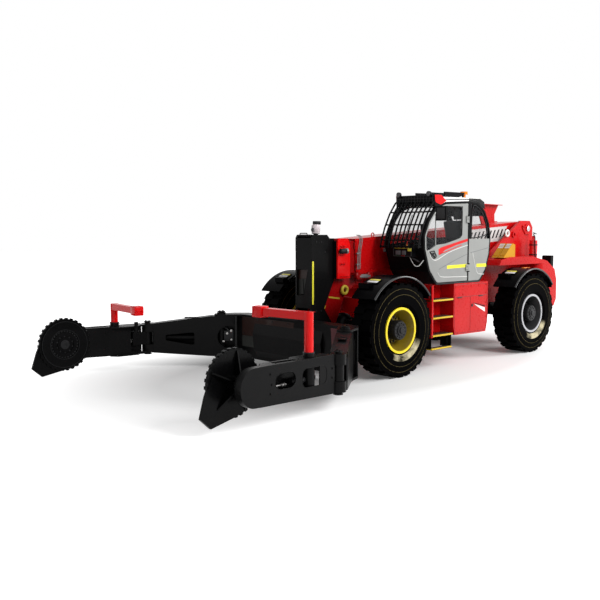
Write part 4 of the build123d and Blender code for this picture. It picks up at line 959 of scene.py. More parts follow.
@dataclass
class FenderDetails:
    """Lamps, marker strips, edge bead and studs of one mudguard, built on the left front."""

    reach: float = 0.745 + 0.088
    thick: float = 0.024
    inner: float = 0.846
    outer: float = 1.318
    first: float = 38.0
    last: float = 142.0
    lamp_lean: float = 26.0

    def rim_line(self, radius: float, side: float, first: float, last: float, steps: int = 16) -> list[Point]:
        """Points along the arch at a radius and a distance to the left."""
        return [
            at(radius * math.cos(math.radians(angle)), side, AXLE_HEIGHT + radius * math.sin(math.radians(angle)))
            for angle in (first + (last - first) * step / steps for step in range(steps + 1))
        ]

    def edge_bead(self, shop: Workshop) -> Piece:
        """The rolled lip along the outer edge."""
        return shop.tube(self.rim_line(self.reach + 0.5 * self.thick, self.outer - 0.006, self.first, self.last),
                         0.0155, rings=3)

    def tread_plate(self, shop: Workshop) -> list[Piece]:
        """Raised studs on the step on top of the arch."""
        stud = shop.block((-0.026, -0.006, 0.0), (0.026, 0.006, 0.004), 0.002)
        top = AXLE_HEIGHT + self.reach + self.thick - 0.001
        places = []
        for row in range(5):
            for column in range(3):
                turn = math.radians(40 if (row + column) % 2 else -40)
                place = at(0.045 * (column - 1), self.inner + 0.08 + 0.085 * row, top - 0.0012 * abs(column - 1))
                places.append(turn_at(place, turn, "Z"))
        return shop.copied(stud, places)

    def lamp(self, shop: Workshop) -> tuple[list[Piece], list[Piece], list[Piece]]:
        """The lamp recess on the arch's front top: housing, clear lens and marker strip."""
        place = turn_at(at(0, 0, AXLE_HEIGHT), math.radians(self.lamp_lean), "Y")
        base = self.reach + self.thick
        low, high = self.inner + 0.075, self.outer - 0.165
        housing = shop.block((-0.07, low, base - 0.006), (0.07, high, base + 0.014), 0.006)
        lens = shop.block((0.0, low + 0.014, base + 0.01), (0.052, high - 0.014, base + 0.02), 0.005)
        ribs = shop.row((0.004, low + 0.03, base + 0.018), (0.048, low + 0.036, base + 0.022), 6, (0, 0.031, 0))
        strip = shop.block((-0.056, low + 0.014, base + 0.01), (-0.016, high - 0.014, base + 0.0165), 0.002)
        groups = ([housing], [lens, *ribs], [strip])
        return tuple(shop.placed(group, place) for group in groups)

    def build(self, shop: Workshop) -> None:
        """Build the fittings once and hand a copy to each mudguard."""
        housing, lens, strip = self.lamp(shop)
        flap = shop.block(at(-0.668, self.inner + 0.02, 1.205), at(-0.66, self.outer - 0.02, 1.262), 0.002)
        for name, finish, pieces in (
            ("fender_lip", "lip_black", [self.edge_bead(shop)]),
            ("fender_housing", "fender_black", [*housing, flap]),
            ("fender_lens", "lens_clear", lens),
            ("fender_strip", "lamp_yellow", strip),
            ("fender_studs", "fender_black", self.tread_plate(shop)),
        ):
            shop.each_wheel(name, finish, shop.joined(pieces), "knuckle_{}")
        top = AXLE_HEIGHT + self.reach + self.thick
        for side in Side:
            marker = shop.block((REAR_AXLE - 0.1, side.sign * 1.12 - 0.035, top - 0.012),
                                (REAR_AXLE + 0.1, side.sign * 1.12 + 0.035, top + 0.006))
            shop.deliver(f"fender_marker_{side.value}", "beacon_orange", [marker], f"knuckle_rear_{side.value}")


# ---------------------------------------------------------------- boom, head and mast
@dataclass
class MastDetails:
    """Cover recess, marker stripes, lip, bolts and camera of the upright mast."""

    front: float = FRONT_AXLE + 0.9
    half_width: float = 0.19

    def build(self, shop: Workshop) -> None:
        """Build the mast's small pieces."""
        f, w = self.front, self.half_width
        stripes = [shop.block(at(0.856, side * w - 0.0015, 1.133), at(0.89, side * w + 0.0025, 1.819), 0.001)
                   for side in BOTH]
        shop.deliver("mast_stripes", "stripe_yellow", stripes, "carriage")
        upper = shop.plate([(-0.172, 1.7), (0.118, 1.7), (0.078, 1.54), (-0.172, 1.53)], Axis.X, f - 0.052, f - 0.04)
        shop.deliver("mast_recess_upper", "plate_brown", [upper], "carriage")
        facets = [shop.plate(outline, Axis.X, near, far) for outline, near, far in (
            ([(-0.172, 1.532), (-0.065, 1.536), (-0.052, 1.292), (-0.172, 1.262)], f - 0.058, f - 0.046),
            ([(-0.065, 1.536), (0.082, 1.542), (0.018, 1.262), (-0.052, 1.292)], f - 0.066, f - 0.056),
        )]
        shop.deliver("mast_recess_lower", "plate_grey", facets, "carriage")
        outline = [(-0.16, 1.262), (-0.16, 1.686), (0.106, 1.686), (0.0, 1.272), (-0.16, 1.262)]
        frame = shop.tube([(f + 0.001, y, z) for y, z in outline], 0.004, order=2)
        ledge = shop.plate([(-0.166, 1.262), (0.004, 1.272), (0.01, 1.25), (-0.166, 1.24)], Axis.X, f, f + 0.004)
        cap_screws = shop.bolts(0.007, (1, 0, 0),
                                [(f, y, z) for y in (-0.172, 0.172) for z in (1.12, 1.36, 1.6, 1.84, 2.08)])
        shop.deliver("mast_cover_frame", "handler_black", [frame, ledge, *cap_screws], "carriage")
        # The raised lip's pale grey is painted highlight along the top plate's front edge.
        lip = shop.block((f - 0.026, -0.11, 2.2375), (f + 0.002, w - 0.02, 2.2445), 0.003)
        handle = shop.tube([(f - 0.02, -0.1, 2.236), (f - 0.02, -0.1, 2.262), (f - 0.02, 0.06, 2.262),
                            (f - 0.02, 0.06, 2.236)], 0.008, order=2)
        shop.deliver("mast_lip_highlight", "pipe_grey", [lip], "carriage")
        key = shop.rod((f - 0.3, w, 1.96), (f - 0.3, w + 0.006, 1.96), 0.014, 16)
        side_bolts = shop.bolts(0.011, (0, 1, 0), [(x, w, z) for x in (f - 0.1, f - 0.21) for z in (1.02, 2.12)])
        shop.deliver("mast_bolts", "bolt_black", [handle, key, *shop.mirrored(side_bolts)], "carriage")
        self.camera(shop)

    def camera(self, shop: Workshop) -> None:
        """Shell, lens and visor of the camera on the mast."""
        x, top = FRONT_AXLE + 0.63, 2.35
        profile = [(0.0, 0.0), (0.03, 0.0), (0.032, 0.01), (0.026, 0.016), (0.0, 0.018)]
        lens = shop.turned(profile, (x + 0.066, 0, top - 0.03), (1, 0, 0.1))
        visor = shop.block((x - 0.07, -0.042, top + 0.05), (x + 0.034, 0.052, top + 0.108), 0.01)
        profile = [(0.0, 0.0), (0.06, 0.004), (0.07, 0.02), (0.07, 0.11), (0.062, 0.124), (0.0, 0.126)]
        shell = shop.turned(profile, (x, 0, 2.27), (0, 0, 1), 40)
        shop.deliver("camera_shell", "camera_white", [shell], "carriage")
        shop.deliver("camera_lens", "screen_grey", [lens], "carriage")
        shop.deliver("camera_visor", "hose_black", [visor], "carriage")


@dataclass
class HeadDetails:
    """Bolts, stubs with their caps, and seams of the boom's head plates."""

    side: float = 0.326

    def build(self, shop: Workshop) -> None:
        """Build the head's small pieces."""
        places = [at(x, self.side, z) for x in (0.3, 0.358) for z in (2.052, 1.766)]
        shop.deliver("head_bolts", "body_red", shop.mirrored(shop.bolts(0.013, (0, 1, 0), places)), "carriage")
        y = self.side + 0.034
        stub = shop.rod(at(0.3, y, 1.975), at(0.425, y, 1.975), 0.043, 28, 0.006)
        foot = shop.block(at(0.345, self.side, 1.96), at(0.385, y, 1.99), 0.003)
        shop.deliver("head_stubs", "hose_black", shop.mirrored([stub, foot]), "carriage")
        cap = shop.cap([(0.044, 0.0), (0.047, 0.006), (0.047, 0.03), (0.043, 0.036)], at(0.305, y, 1.975), (-1, 0, 0))
        shop.deliver("head_stub_caps", "pipe_grey", shop.mirrored([cap]), "carriage")
        seam = shop.plate(ahead((150, 1560), (410, 1560), (410, 1566), (150, 1566)), Axis.Y, self.side,
                          self.side + 0.003)
        shop.deliver("head_seams", "deep_red", shop.mirrored([seam]), "carriage")


@dataclass
class BoomDetails:
    """Weld beads, collar, pipes, hoses, rollers, wear pads and lashing rings of the boom."""

    half_width: float = 0.26
    top: float = 0.144
    bottom: float = -0.45
    mouth: float = 4.99

    def side_seams(self, shop: Workshop) -> list[Piece]:
        """Weld beads along both webs."""
        lines = [[on_boom(along, up) for along in (0.42, self.mouth - 0.06)]
                 for up in (self.top - 0.055, self.bottom + 0.06)]
        return shop.mirrored(shop.tube(lifted(line, self.half_width), 0.005, order=2) for line in lines)

    def collar(self, shop: Workshop) -> list[Piece]:
        """The stiffening collar round the boom's mouth, with its bolts."""
        low, high = self.half_width, self.half_width + 0.012
        corners = [on_boom(self.mouth - back, up) for back, up in (
            (0.16, self.bottom + 0.02), (0.01, self.bottom + 0.02), (0.01, self.top - 0.03), (0.12, self.top - 0.03))]
        feet = [on_boom(self.mouth - 0.075, up) for up in (-0.36, -0.24, -0.12, 0.0)]
        return shop.mirrored([shop.plate(corners, Axis.Y, low, high, 0.003),
                              *shop.bolts(0.014, (0, 1, 0), lifted(feet, high))])

    def pipes(self, shop: Workshop) -> list[Piece]:
        """Three steel pipes that come over the top and run down by the mouth."""
        line = ((-0.15, 0.17, 2.232), (-0.128, 0.284, 2.205), (-0.08, 0.288, 2.03), (-0.062, 0.286, 1.95),
                (-0.052, 0.286, 1.665))
        pieces = [shop.tube([at(x - shift, y, z) for x, y, z in line], 0.0062) for shift in (0.0, 0.031, 0.062)]
        clamps = [shop.block(at(-0.125, 0.262, z - 0.012), at(-0.035, 0.3, z + 0.012), 0.004) for z in (1.75, 1.93)]
        return pieces + clamps

    def hoses(self, shop: Workshop) -> list[Piece]:
        """Clamped hoses along the right web, from the guide to the mouth."""
        side = -self.half_width - 0.012
        lines = [[on_boom(1.3, up), on_boom(2.8, up + 0.002), on_boom(self.mouth - 0.24, up)]
                 for up in (0.055, 0.025, -0.005)]
        return [shop.tube(lifted(line, side), 0.012) for line in lines]

    def clips(self, shop: Workshop) -> list[Piece]:
        """Clips over the hoses."""
        side = -self.half_width
        clip = shop.block((-0.022, side - 0.029, -0.024), (0.022, side, 0.074), 0.005)
        line = [on_boom(along, 0.0) for along in (1.35, 2.05, 2.75, 3.45, 4.15, 4.65)]
        return shop.copied(clip, [turn_at(place, BOOM_SLOPE, "Y") for place in lifted(line, 0.0)])

    def clevis(self, shop: Workshop) -> None:
        """The roller in its two eyes under each web near the mouth, and the bars on the nose."""
        edge = [(0.062, 0.0), (0.064, 0.008), (0.064, 0.05), (0.052, 0.058)]
        eyes = [shop.cap(edge, at(x, self.half_width, 1.56), (0, 1, 0)) for x in (-0.065, -0.35)]
        # The eyes take the red darkened as painted shade at the nose.
        shop.deliver("boom_eyes", "nose_red_shaded", shop.mirrored(eyes), "boom")
        roller = shop.rod(at(-0.34, 0.288, 1.548), at(-0.08, 0.288, 1.548), 0.034, 24, 0.004)
        shop.deliver("boom_rollers", "pipe_grey", shop.mirrored([roller]), "boom")
        bars = [shop.plate(ahead(*line), Axis.Y, 0.15, 0.155) for line in (
            [(482, 1240), (225, 1205), (225, 1180), (482, 1214)],
            [(546, 1096), (562, 1092), (600, 1016), (582, 1012)])]
        shop.deliver("nose_bars", "lashing_yellow", shop.mirrored(bars), "boom_extension")

    def build(self, shop: Workshop) -> None:
        """Build the boom's small pieces."""
        shop.deliver("boom_seams", "body_red", [*self.side_seams(shop), *self.collar(shop)], "boom")
        shop.deliver("boom_pipes", "pipe_grey", self.pipes(shop), "boom")
        shop.deliver("boom_hoses", "hose_black", self.hoses(shop), "boom")
        shop.deliver("boom_clips", "frame_black", self.clips(shop), "boom")
        self.clevis(shop)
        x, z = on_boom(4.52, self.top)
        shop.deliver("boom_top_ring", "stripe_red", [shop.ring(0.034, 0.009, (x, 0.215, z + 0.03))], "boom")
        pads = []
        for up in (-0.34, 0.03):
            a, b = on_boom(self.mouth - 0.002, up - 0.05), on_boom(self.mouth + 0.012, up + 0.05)
            pads.append(shop.block((a[0], 0.214, a[1]), (b[0] + 0.012, 0.248, b[1]), 0.003))
        shop.deliver("boom_wear_pads", "deep_red", shop.mirrored(pads), "boom")
        rings = shop.mirrored([shop.ring(0.06, 0.026, at(0.15, 0.19, 1.33))])
        shop.deliver("nose_rings", "lashing_yellow", rings, "boom_extension")


# ---------------------------------------------------------------- cab
@dataclass
class CabDetails:
    """Door and panel trim, seals, guard and roof fittings, instruments and mirror of the cab."""

    face: float = CAB_SIDE
    beacon: Flat = (-2.127, 0.9)

    def door_trim(self, shop: Workshop) -> None:
        """Stripes, swage lines, grab recess and seals on the door."""
        y = self.face
        flash = [(-959, 2001), (-1030, 2031), (-1764, 2171), (-1765, 2125), (-1450, 2064), (-1135, 1985),
                 (-1000, 1908), (-961, 1913)]
        lower = [(-1010, 1935), (-1150, 1962), (-1470, 2040), (-1600, 2068), (-1600, 2056), (-1470, 2026),
                 (-1150, 1946), (-1010, 1921)]
        shop.deliver("door_flash", "stripe_red", [shop.strip(line, y, 0.0018) for line in (flash, lower)], "door")
        shop.deliver("door_strip", "stripe_yellow", [
            shop.strip([(-1194, 1726), (-1762, 1738), (-1762, 1684), (-1194, 1672)], y)], "door")
        swage = (
            [(-688, 1986), (-760, 1868), (-832, 1822), (-913, 1820), (-1180, 1930), (-1452, 2000), (-1762, 2058)],
            [(-948, 1619), (-972, 1570), (-1043, 1539), (-1300, 1532), (-1762, 1523)],
        )
        # Pale beads along the swage lines are painted highlight.
        beads = [shop.bead(line, y - 0.001, 0.0065, rings=3) for line in swage]
        shop.deliver("door_swage_highlight", "swage_highlight_silver", beads, "door")
        crease = [(-978, 1668), (-1160, 1734), (-1372, 1796), (-1580, 1858), (-1762, 1908)]
        # The dark bead along the crease is painted shade.
        shop.deliver("door_crease_shade", "crease_shade_grey", [shop.bead(crease, y - 0.0005, WELD)], "door")
        window = [(-700, 1985), (-906, 2070), (-1153, 2092), (-1555, 2178), (-1612, 2232), (-1612, 2660),
                  (-1560, 2712), (-1180, 2712), (-1010, 2690), (-880, 2640), (-740, 2500), (-650, 2330), (-622, 2240),
                  (-622, 2100), (-650, 1990), (-720, 1988)]
        seal = shop.bead(window, y - 0.01, 0.0085)
        grab = [(-716, 1962), (-850, 1975), (-912, 1884), (-868, 1852), (-812, 1852), (-738, 1908), (-716, 1962)]
        pull = shop.bead([(-740, 1950), (-800, 1908), (-872, 1868)], y + 0.004, 0.011, rings=3)
        rim = shop.bead(grab, y, 0.005, order=2)
        lock = shop.rod(at(-0.832, y - 0.013, 1.925), at(-0.832, y + 0.003, 1.925), 0.02, 20)
        shop.deliver("door_seal", "seal_rubber", [seal, pull, rim, lock], "door")

    def rear_panel_trim(self, shop: Workshop) -> None:
        """Strip, swage, crease and seals of the panel behind the door."""
        y = self.face
        shop.deliver("panel_strip", "stripe_yellow", [
            shop.strip([(-2038, 1734), (-2328, 1732), (-2326, 1676), (-2038, 1676)], y)])
        swage = [(-1917, 1927), (-1960, 1790), (-2017, 1660), (-2060, 1570), (-2135, 1549), (-2262, 1546)]
        # The pale bead along the swage is painted highlight.
        shop.deliver("panel_swage_highlight", "swage_highlight_silver", [shop.bead(swage, y - 0.001, 0.0065, rings=3)])
        crease = [(-1850, 1926), (-2100, 1962), (-2410, 2010)]
        # The dark bead along the crease is painted shade.
        shop.deliver("panel_crease_shade", "crease_shade_grey", [shop.bead(crease, y - 0.0005, WELD)])
        pane = [(-1890, 2180), (-1890, 2742), (-2030, 2738), (-2215, 2630), (-2345, 2420), (-2398, 2190),
                (-1890, 2180)]
        seal = shop.bead(pane, y - 0.016, 0.01)
        base = shop.bead([(-905, 1432), (-1400, 1428), (-2120, 1428)], y - 0.002, 0.012)
        shop.deliver("panel_seal", "seal_rubber", [seal, base])

    def hinge_caps(self, shop: Workshop) -> None:
        """Domed screws on the door's hinge leaves."""
        x, y = FRONT_AXLE - 1.735, self.face + 0.02
        screws = shop.bolts(0.006, (0, 1, 0), [(x, y, z + shift) for z in (1.64, 2.5) for shift in (0.0, 0.05)])
        shop.deliver("hinge_screws", "bolt_black", screws, "door")

    def guard_fittings(self, shop: Workshop) -> None:
        """Louvred visor with its cheeks, cross straps, washer pipe and lamps on the guard."""
        x = FRONT_AXLE - 0.838
        fins = shop.row((x - 0.002, 0.47, 2.735), (x + 0.012, 0.476, 2.876), 13, (0, 0.062, 0))
        rails = [shop.block((x - 0.002, 0.452, z), (x + 0.01, 1.238, z + 0.007), 0.001)
                 for z in (2.735, 2.78, 2.828, 2.872)]
        shop.deliver("visor_grille", "dash_plastic", [*fins, *rails])
        straps = [shop.block((px - 0.02, 0.445, pz - 0.012), (px - 0.01, 1.245, pz + 0.012), 0.002)
                  for px, pz in ahead((-452, 2150), (-556, 2400), (-676, 2606))]
        cable = shop.tube([at(-0.585, 0.955, 1.872), at(-0.575, 1.042, 1.75), at(-0.585, 1.098, 1.722),
                           at(-0.6, 1.153, 1.739), at(-0.64, 1.196, 1.83)], 0.0065)
        shop.deliver("guard_straps", "frame_black", straps)
        shop.deliver("washer_pipe", "stripe_white", [cable])
        bowl = [(0.0, 0.0), (0.03, 0.004), (0.042, 0.02), (0.046, 0.055), (0.04, 0.058), (0.0, 0.052)]
        dome = [(0.0, 0.05), (0.039, 0.054), (0.036, 0.062), (0.0, 0.066)]
        housings, lenses = ([shop.turned(profile, at(-0.84, y, 2.905), (1, 0, -0.12), 24) for y in (0.53, 1.16)]
                            for profile in (bowl, dome))
        feet = [shop.rod(at(-0.81, y, 2.862), at(-0.81, y, 2.888), 0.012, 12) for y in (0.53, 1.16)]
        shop.deliver("work_lamps", "frame_black", [*housings, *feet])
        shop.deliver("work_lenses", "screen_grey", lenses)
        cheek = ahead((-836, 2886), (-1008, 2885), (-1134, 2802), (-1131, 2783), (-989, 2729), (-870, 2762),
                      (-848, 2788))
        shop.deliver("visor_cheeks", "post_red", [
            shop.plate(cheek, Axis.Y, self.face, self.face + 0.006, 0.002),
            shop.plate(cheek, Axis.Y, 0.44, 0.434, 0.002)])

    def roof_fittings(self, shop: Workshop) -> None:
        """Gutter, aerial, screens, hatch, beacon collar and ribs on the roof."""
        gutter = shop.bead([(-1008, 2800), (-1134, 2812), (-1750, 2838), (-2080, 2810), (-2262, 2690)],
                           self.face - 0.004, 0.009)
        hatch = shop.block(at(-1.95, 0.56, 2.861), at(-1.25, 1.12, 2.868), 0.004)
        collar = shop.turned([(0.03, 0.0), (0.046, 0.0), (0.046, 0.012), (0.036, 0.03), (0.03, 0.03)],
                             at(*self.beacon, 2.85), (0, 0, 1), 24)
        aerial = shop.rod(at(-1.9, 0.52, 2.86), at(-1.9, 0.52, 2.9), 0.014, 16)
        screen = [shop.plate(ahead((-1020, 2935), (-1930, 2948), (-1930, 2905), (-1790, 2868), (-1020, 2868)), Axis.Y,
                             side, side + 0.008)
                  for side in (0.996, 0.7)]
        shop.deliver("roof_trim", "frame_black", [gutter, collar, aerial, *screen])
        shop.deliver("roof_hatch", "roof_white", [hatch])
        rib = shop.block((0.057, -0.003, 2.948), (0.0645, 0.003, 2.984), 0.001)
        ribs = shop.copied(rib, [turn_at(at(*self.beacon, 0), math.tau * step / 16, "Z") for step in range(16)])
        shop.deliver("beacon_ribs", "beacon_orange", ribs)

    def instruments(self, shop: Workshop) -> None:
        """Screens, strip, signals, lamp and levers on the instrument box."""
        x = FRONT_AXLE - 0.48
        screens = [shop.block((x, a, 1.912), (x + 0.005, b, 1.98), 0.002)
                   for a, b in ((0.744, 0.848), (0.876, 0.961))]
        shop.deliver("screens", "screen_grey", screens)
        strip = shop.block((x, 0.714, 2.014), (x + 0.004, 0.97, 2.026), 0.001)
        shop.deliver("instrument_strip", "lashing_yellow", [strip])
        lamp = shop.block((x, 1.0, 1.972), (x + 0.01, 1.076, 2.026), 0.004)
        shop.deliver("instrument_lamp", "lamp_yellow", [lamp])
        shop.deliver("signal_green", "signal_green", [
            shop.block((x, 0.745, 1.884), (x + 0.004, 0.818, 1.897), 0.001),
            shop.block((x - 0.02, 0.935, 2.048), (x - 0.005, 0.965, 2.062), 0.001)])
        shop.deliver("signal_red", "lens_red", [
            shop.block((x, 0.862, 1.884), (x + 0.004, 0.94, 1.899), 0.001),
            shop.tube([(x - 0.05, 0.935, 2.05), (x - 0.05, 0.938, 2.135)], 0.011, order=2)])
        shop.deliver("lever_tip", "beacon_orange", [
            shop.tube([(x - 0.05, 0.935, 2.046), (x - 0.05, 0.935, 2.085)], 0.012, order=2)])
        line = [(0.7, 1.89), (0.7, 2.04), (1.07, 2.04), (1.07, 1.89), (0.7, 1.89)]
        frame = shop.tube([(x + 0.002, a, b) for a, b in line], 0.006, order=2)
        side = shop.tube([at(-0.545, 1.02, 1.86), at(-0.55, 1.1, 1.84), at(-0.585, 1.15, 1.8)], 0.012)
        wiper = shop.tube([at(-0.5, 0.9, 2.1), at(-0.505, 0.965, 2.35), at(-0.6, 0.985, 2.56)], 0.006)
        shop.deliver("instrument_trim", "dash_plastic", [frame, side, wiper])
        stub = shop.block(at(-0.62, 0.405, 1.948), at(-0.55, 0.44, 2.01), 0.008)
        shop.deliver("side_marker", "screen_grey", [stub])

    def mirror_face(self, shop: Workshop) -> None:
        """The mirror's glass and its back."""
        x = FRONT_AXLE - 0.656
        glass = shop.block((x - 0.003, 1.467, 2.473), (x + 0.001, 1.64, 2.678), 0.001)
        shop.deliver("mirror_glass", "mirror_silver", [glass])
        back = shop.block(at(-0.607, 1.48, 2.49), at(-0.596, 1.627, 2.662), 0.01)
        shop.deliver("mirror_back", "dash_plastic", [back])

    def build(self, shop: Workshop) -> None:
        """Build all of the cab's pieces."""
        self.door_trim(shop)
        self.rear_panel_trim(shop)
        self.hinge_caps(shop)
        self.guard_fittings(shop)
        self.roof_fittings(shop)
        self.instruments(shop)
        self.mirror_face(shop)


@dataclass
class Seat:
    """The driver's seat: crowned cushions on a plain base, with its console and levers."""

    waist: float = 0.05
    pull: float = 0.035
    channel_depth: float = 0.1
    channel_place: float = 0.42
    channel_width: float = 0.06
    back_lean: float = 76.0
    rest_lean: float = 78.0
    fill: float = 0.7

    def cushion(self, shop: Workshop, low: Point, high: Point, crown: float) -> Piece:
        """A crowned cushion whose sides pull in between its corners.

        Args:
            low: its lowest corner.
            high: its highest corner.
            crown: how far the middle of its top stands above its edge.

        Returns:
            The cushion.
        """
        shop.clear()
        middle, span = middle_and_span(low, high)
        bpy.ops.mesh.primitive_cube_add(size=1.0)
        piece = bpy.context.object
        shop.edit("SELECT")
        bpy.ops.mesh.subdivide(number_cuts=7)
        shop.leave()
        for vertex in piece.data.vertices:
            x, y, z = (2.0 * part for part in vertex.co)
            bulge = (1 - x * x) * (1 - y * y)
            sides = (1 - x * x) * abs(y) ** 6 + (1 - y * y) * abs(x) ** 6
            pull = 1.0 - self.waist * (1 - z * z) - self.pull * sides
            off = (abs(y) - self.channel_place) / self.channel_width
            channel = self.channel_depth * math.exp(-off ** 2) * (z > 0.5)
            vertex.co = (0.5 * x * pull * span[0], 0.5 * y * pull * span[1],
                         0.5 * z * span[2] * (1 - crown / span[2]) + (crown * (bulge - channel) * (0.5 + 0.5 * z)))
        piece.data.transform(Matrix.Translation(middle))
        rounding = piece.modifiers.new("rounding", "SUBSURF")
        rounding.levels = rounding.render_levels = 1
        bpy.ops.object.modifier_apply(modifier="rounding")
        return piece

    def build(self, shop: Workshop) -> None:
        """Build the seat in place of the plain one."""
        f = FRONT_AXLE
        base = self.cushion(shop, (f - 1.975, 0.625, 1.802), (f - 1.405, 1.095, 1.938), 0.03)
        back = self.cushion(shop, (-0.29, -0.215, -0.056), (0.29, 0.215, 0.056), 0.026)
        back = shop.moved(back, turn_at((f - 1.978, 0.86, 2.205), -math.radians(self.back_lean), "Y"))
        rest = self.cushion(shop, (-0.068, -0.118, -0.046), (0.068, 0.118, 0.046), 0.016)
        rest = shop.moved(rest, turn_at((f - 2.066, 0.86, 2.568), -math.radians(self.rest_lean), "Y"))
        for name, piece in (("seat_cushion", base), ("seat_back", back), ("seat_headrest", rest)):
            made = shop.deliver(name, "seat_fabric", [piece], "chassis", 60.0)
        pan = shop.block((f - 1.96, 0.64, 1.47), (f - 1.48, 1.08, 1.8), 0.012)
        bellows = shop.row((f - 1.965, 0.634, 1.52), (f - 1.474, 1.086, 1.545), 4, (0, 0, 0.06), 0.01)
        plate = shop.block((f - 2.06, 0.52, 1.449), (f - 1.26, 1.1, 1.469), 0.004)
        console = shop.block((f - 1.96, 0.52, 1.469), (f - 1.3, 0.612, 2.01), 0.014)
        tips = (f - 1.35, f - 1.44, f - 1.53)
        levers = [shop.tube([(x - 0.01, 0.566, 2.005), (x, 0.566, 2.085)], 0.008, order=2) for x in tips]
        knob = [(0.0, 0.0), (0.014, 0.002), (0.018, 0.016), (0.014, 0.03), (0.0, 0.034)]
        knobs = [shop.turned(knob, (x, 0.566, 2.075), (0, 0, 1), 16) for x in tips]
        arm = shop.block((f - 1.9, 1.07, 2.02), (f - 1.56, 1.098, 2.062), 0.012)
        stems = [shop.rod((f - 2.055, y, 2.46), (f - 2.062, y, 2.54), 0.006, 12) for y in (0.8, 0.92)]
        structure = shop.deliver("seat_structure", "dash_plastic",
                                 [pan, *bellows, plate, console, *levers, *knobs, arm, *stems])
        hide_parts("seat")


# ---------------------------------------------------------------- side box and ladder
@dataclass
class SideDetails:
    """Door lines, hinges, lock and flash of the side box, and the ladder's treads, hangers and post."""

    face: float = CAB_SIDE
    steps: tuple[float, ...] = (0.581, 0.874, 1.166)

    def build(self, shop: Workshop) -> None:
        """Build the side's small pieces."""
        y = self.face
        lines = (
            [(-1425, 1390), (-1425, 700), (-1462, 565), (-2330, 556), (-2372, 705), (-2372, 1390), (-1425, 1390)],
            [(-1425, 1180), (-2372, 1180)],
            [(-1880, 1180), (-1880, 560)],
        )
        shop.deliver("box_seams", "deep_red", [shop.bead(line, y - 0.001, WELD, order=2) for line in lines])
        heads = ahead((-1455, 1360), (-1455, 1220), (-2340, 1360), (-2340, 1220), (-1660, 1360), (-1660, 1220),
                      (-2340, 800), (-2340, 1050), (-1900, 1360), (-2120, 1360))
        shop.deliver("box_bolts", "body_red", shop.bolts(0.01, (0, 1, 0), lifted(heads, y)))
        lock = shop.cap([(0.026, 0.0), (0.026, 0.006), (0.02, 0.01)], at(-1.93, y, 1.02), (0, 1, 0), 24)
        hinges = [shop.rod(at(x, y + 0.004, 1.172), at(x - 0.12, y + 0.004, 1.172), 0.009, 12) for x in (-1.5, -2.12)]
        shop.deliver("box_lock", "bolt_black", [lock, *hinges])
        for name, finish, line in (
            ("box_flash", "stripe_white", [(-1987, 1039), (-2318, 956), (-2318, 879), (-2120, 970)]),
            ("box_flash_edge", "frame_black", [(-1940, 1066), (-2318, 992), (-2318, 972), (-1987, 1046)]),
        ):
            shop.deliver(name, finish, [shop.strip(line, y)])
        treads, edges = [], []
        for z in self.steps:
            low, high = FRONT_AXLE - 1.385, FRONT_AXLE - 0.82
            treads += shop.row((low, 1.03, z), (low + 0.014, 1.222, z + 0.006), 10, (0.055, 0, 0))
            edges += [
                shop.block((low, y - 0.024, z - 0.024), (high, y + 0.002, z + 0.003), 0.003),
                shop.block((high - 0.012, 1.015, z - 0.024), (high + 0.014, y, z + 0.003), 0.003),
            ]
        low_x, high_x = FRONT_AXLE - 1.36, FRONT_AXLE - 0.818
        edges += [
            shop.block((low_x, y - 0.024, 0.342), (high_x, y + 0.002, 0.366), 0.003),
            shop.block((high_x - 0.012, 1.125, 0.342), (high_x + 0.006, y, 0.366), 0.003),
        ]
        treads += shop.row((low_x, 1.135, 0.363), (low_x + 0.014, 1.222, 0.369), 10, (0.05, 0, 0))
        shop.deliver("ladder_treads", "bolt_steel", treads)
        shop.deliver("ladder_edges", "tread_yellow", edges)
        post = shop.block(at(-0.845, 1.116, 0.545), at(-0.806, y + 0.002, 1.412), 0.004)
        back = shop.block(at(-1.396, 0.97, 0.565), at(-0.955, 0.976, 1.41), 0.002)
        shop.deliver("ladder_post", "body_red", [post, back])
        rail = shop.tube([at(-0.8, y - 0.02, 1.18), at(-0.78, y - 0.02, 1.24), at(-0.785, y - 0.02, 1.4)], 0.01)
        hangers = [shop.block((x, 1.01, 0.35), (x + 0.01, y - 0.012, 0.572), 0.003)
                   for x in (low_x - 0.004, high_x - 0.004)]
        shop.deliver("ladder_grab", "frame_black", [rail, *hangers])


# ---------------------------------------------------------------- tyre handler
@dataclass(frozen=True)
class ArmFrame:
    """An arm's own frame: along it, out from the machine, and up."""

    pin: Flat
    turn: float
    body: str

    @property
    def matrix(self) -> Matrix:
        """From the arm's frame to the machine's, on the left."""
        return turn_at(at(*self.pin, 0.0), self.turn, "Z")

    def fit(self, shop: Workshop, name: str, finish: str, pieces: Iterable[Piece], body: str = "") -> None:
        """Deliver pieces that are drawn in the arm's frame on both sides, on the arm unless a body is given."""
        shop.both_sides(name, finish, shop.placed(pieces, self.matrix), body or self.body)


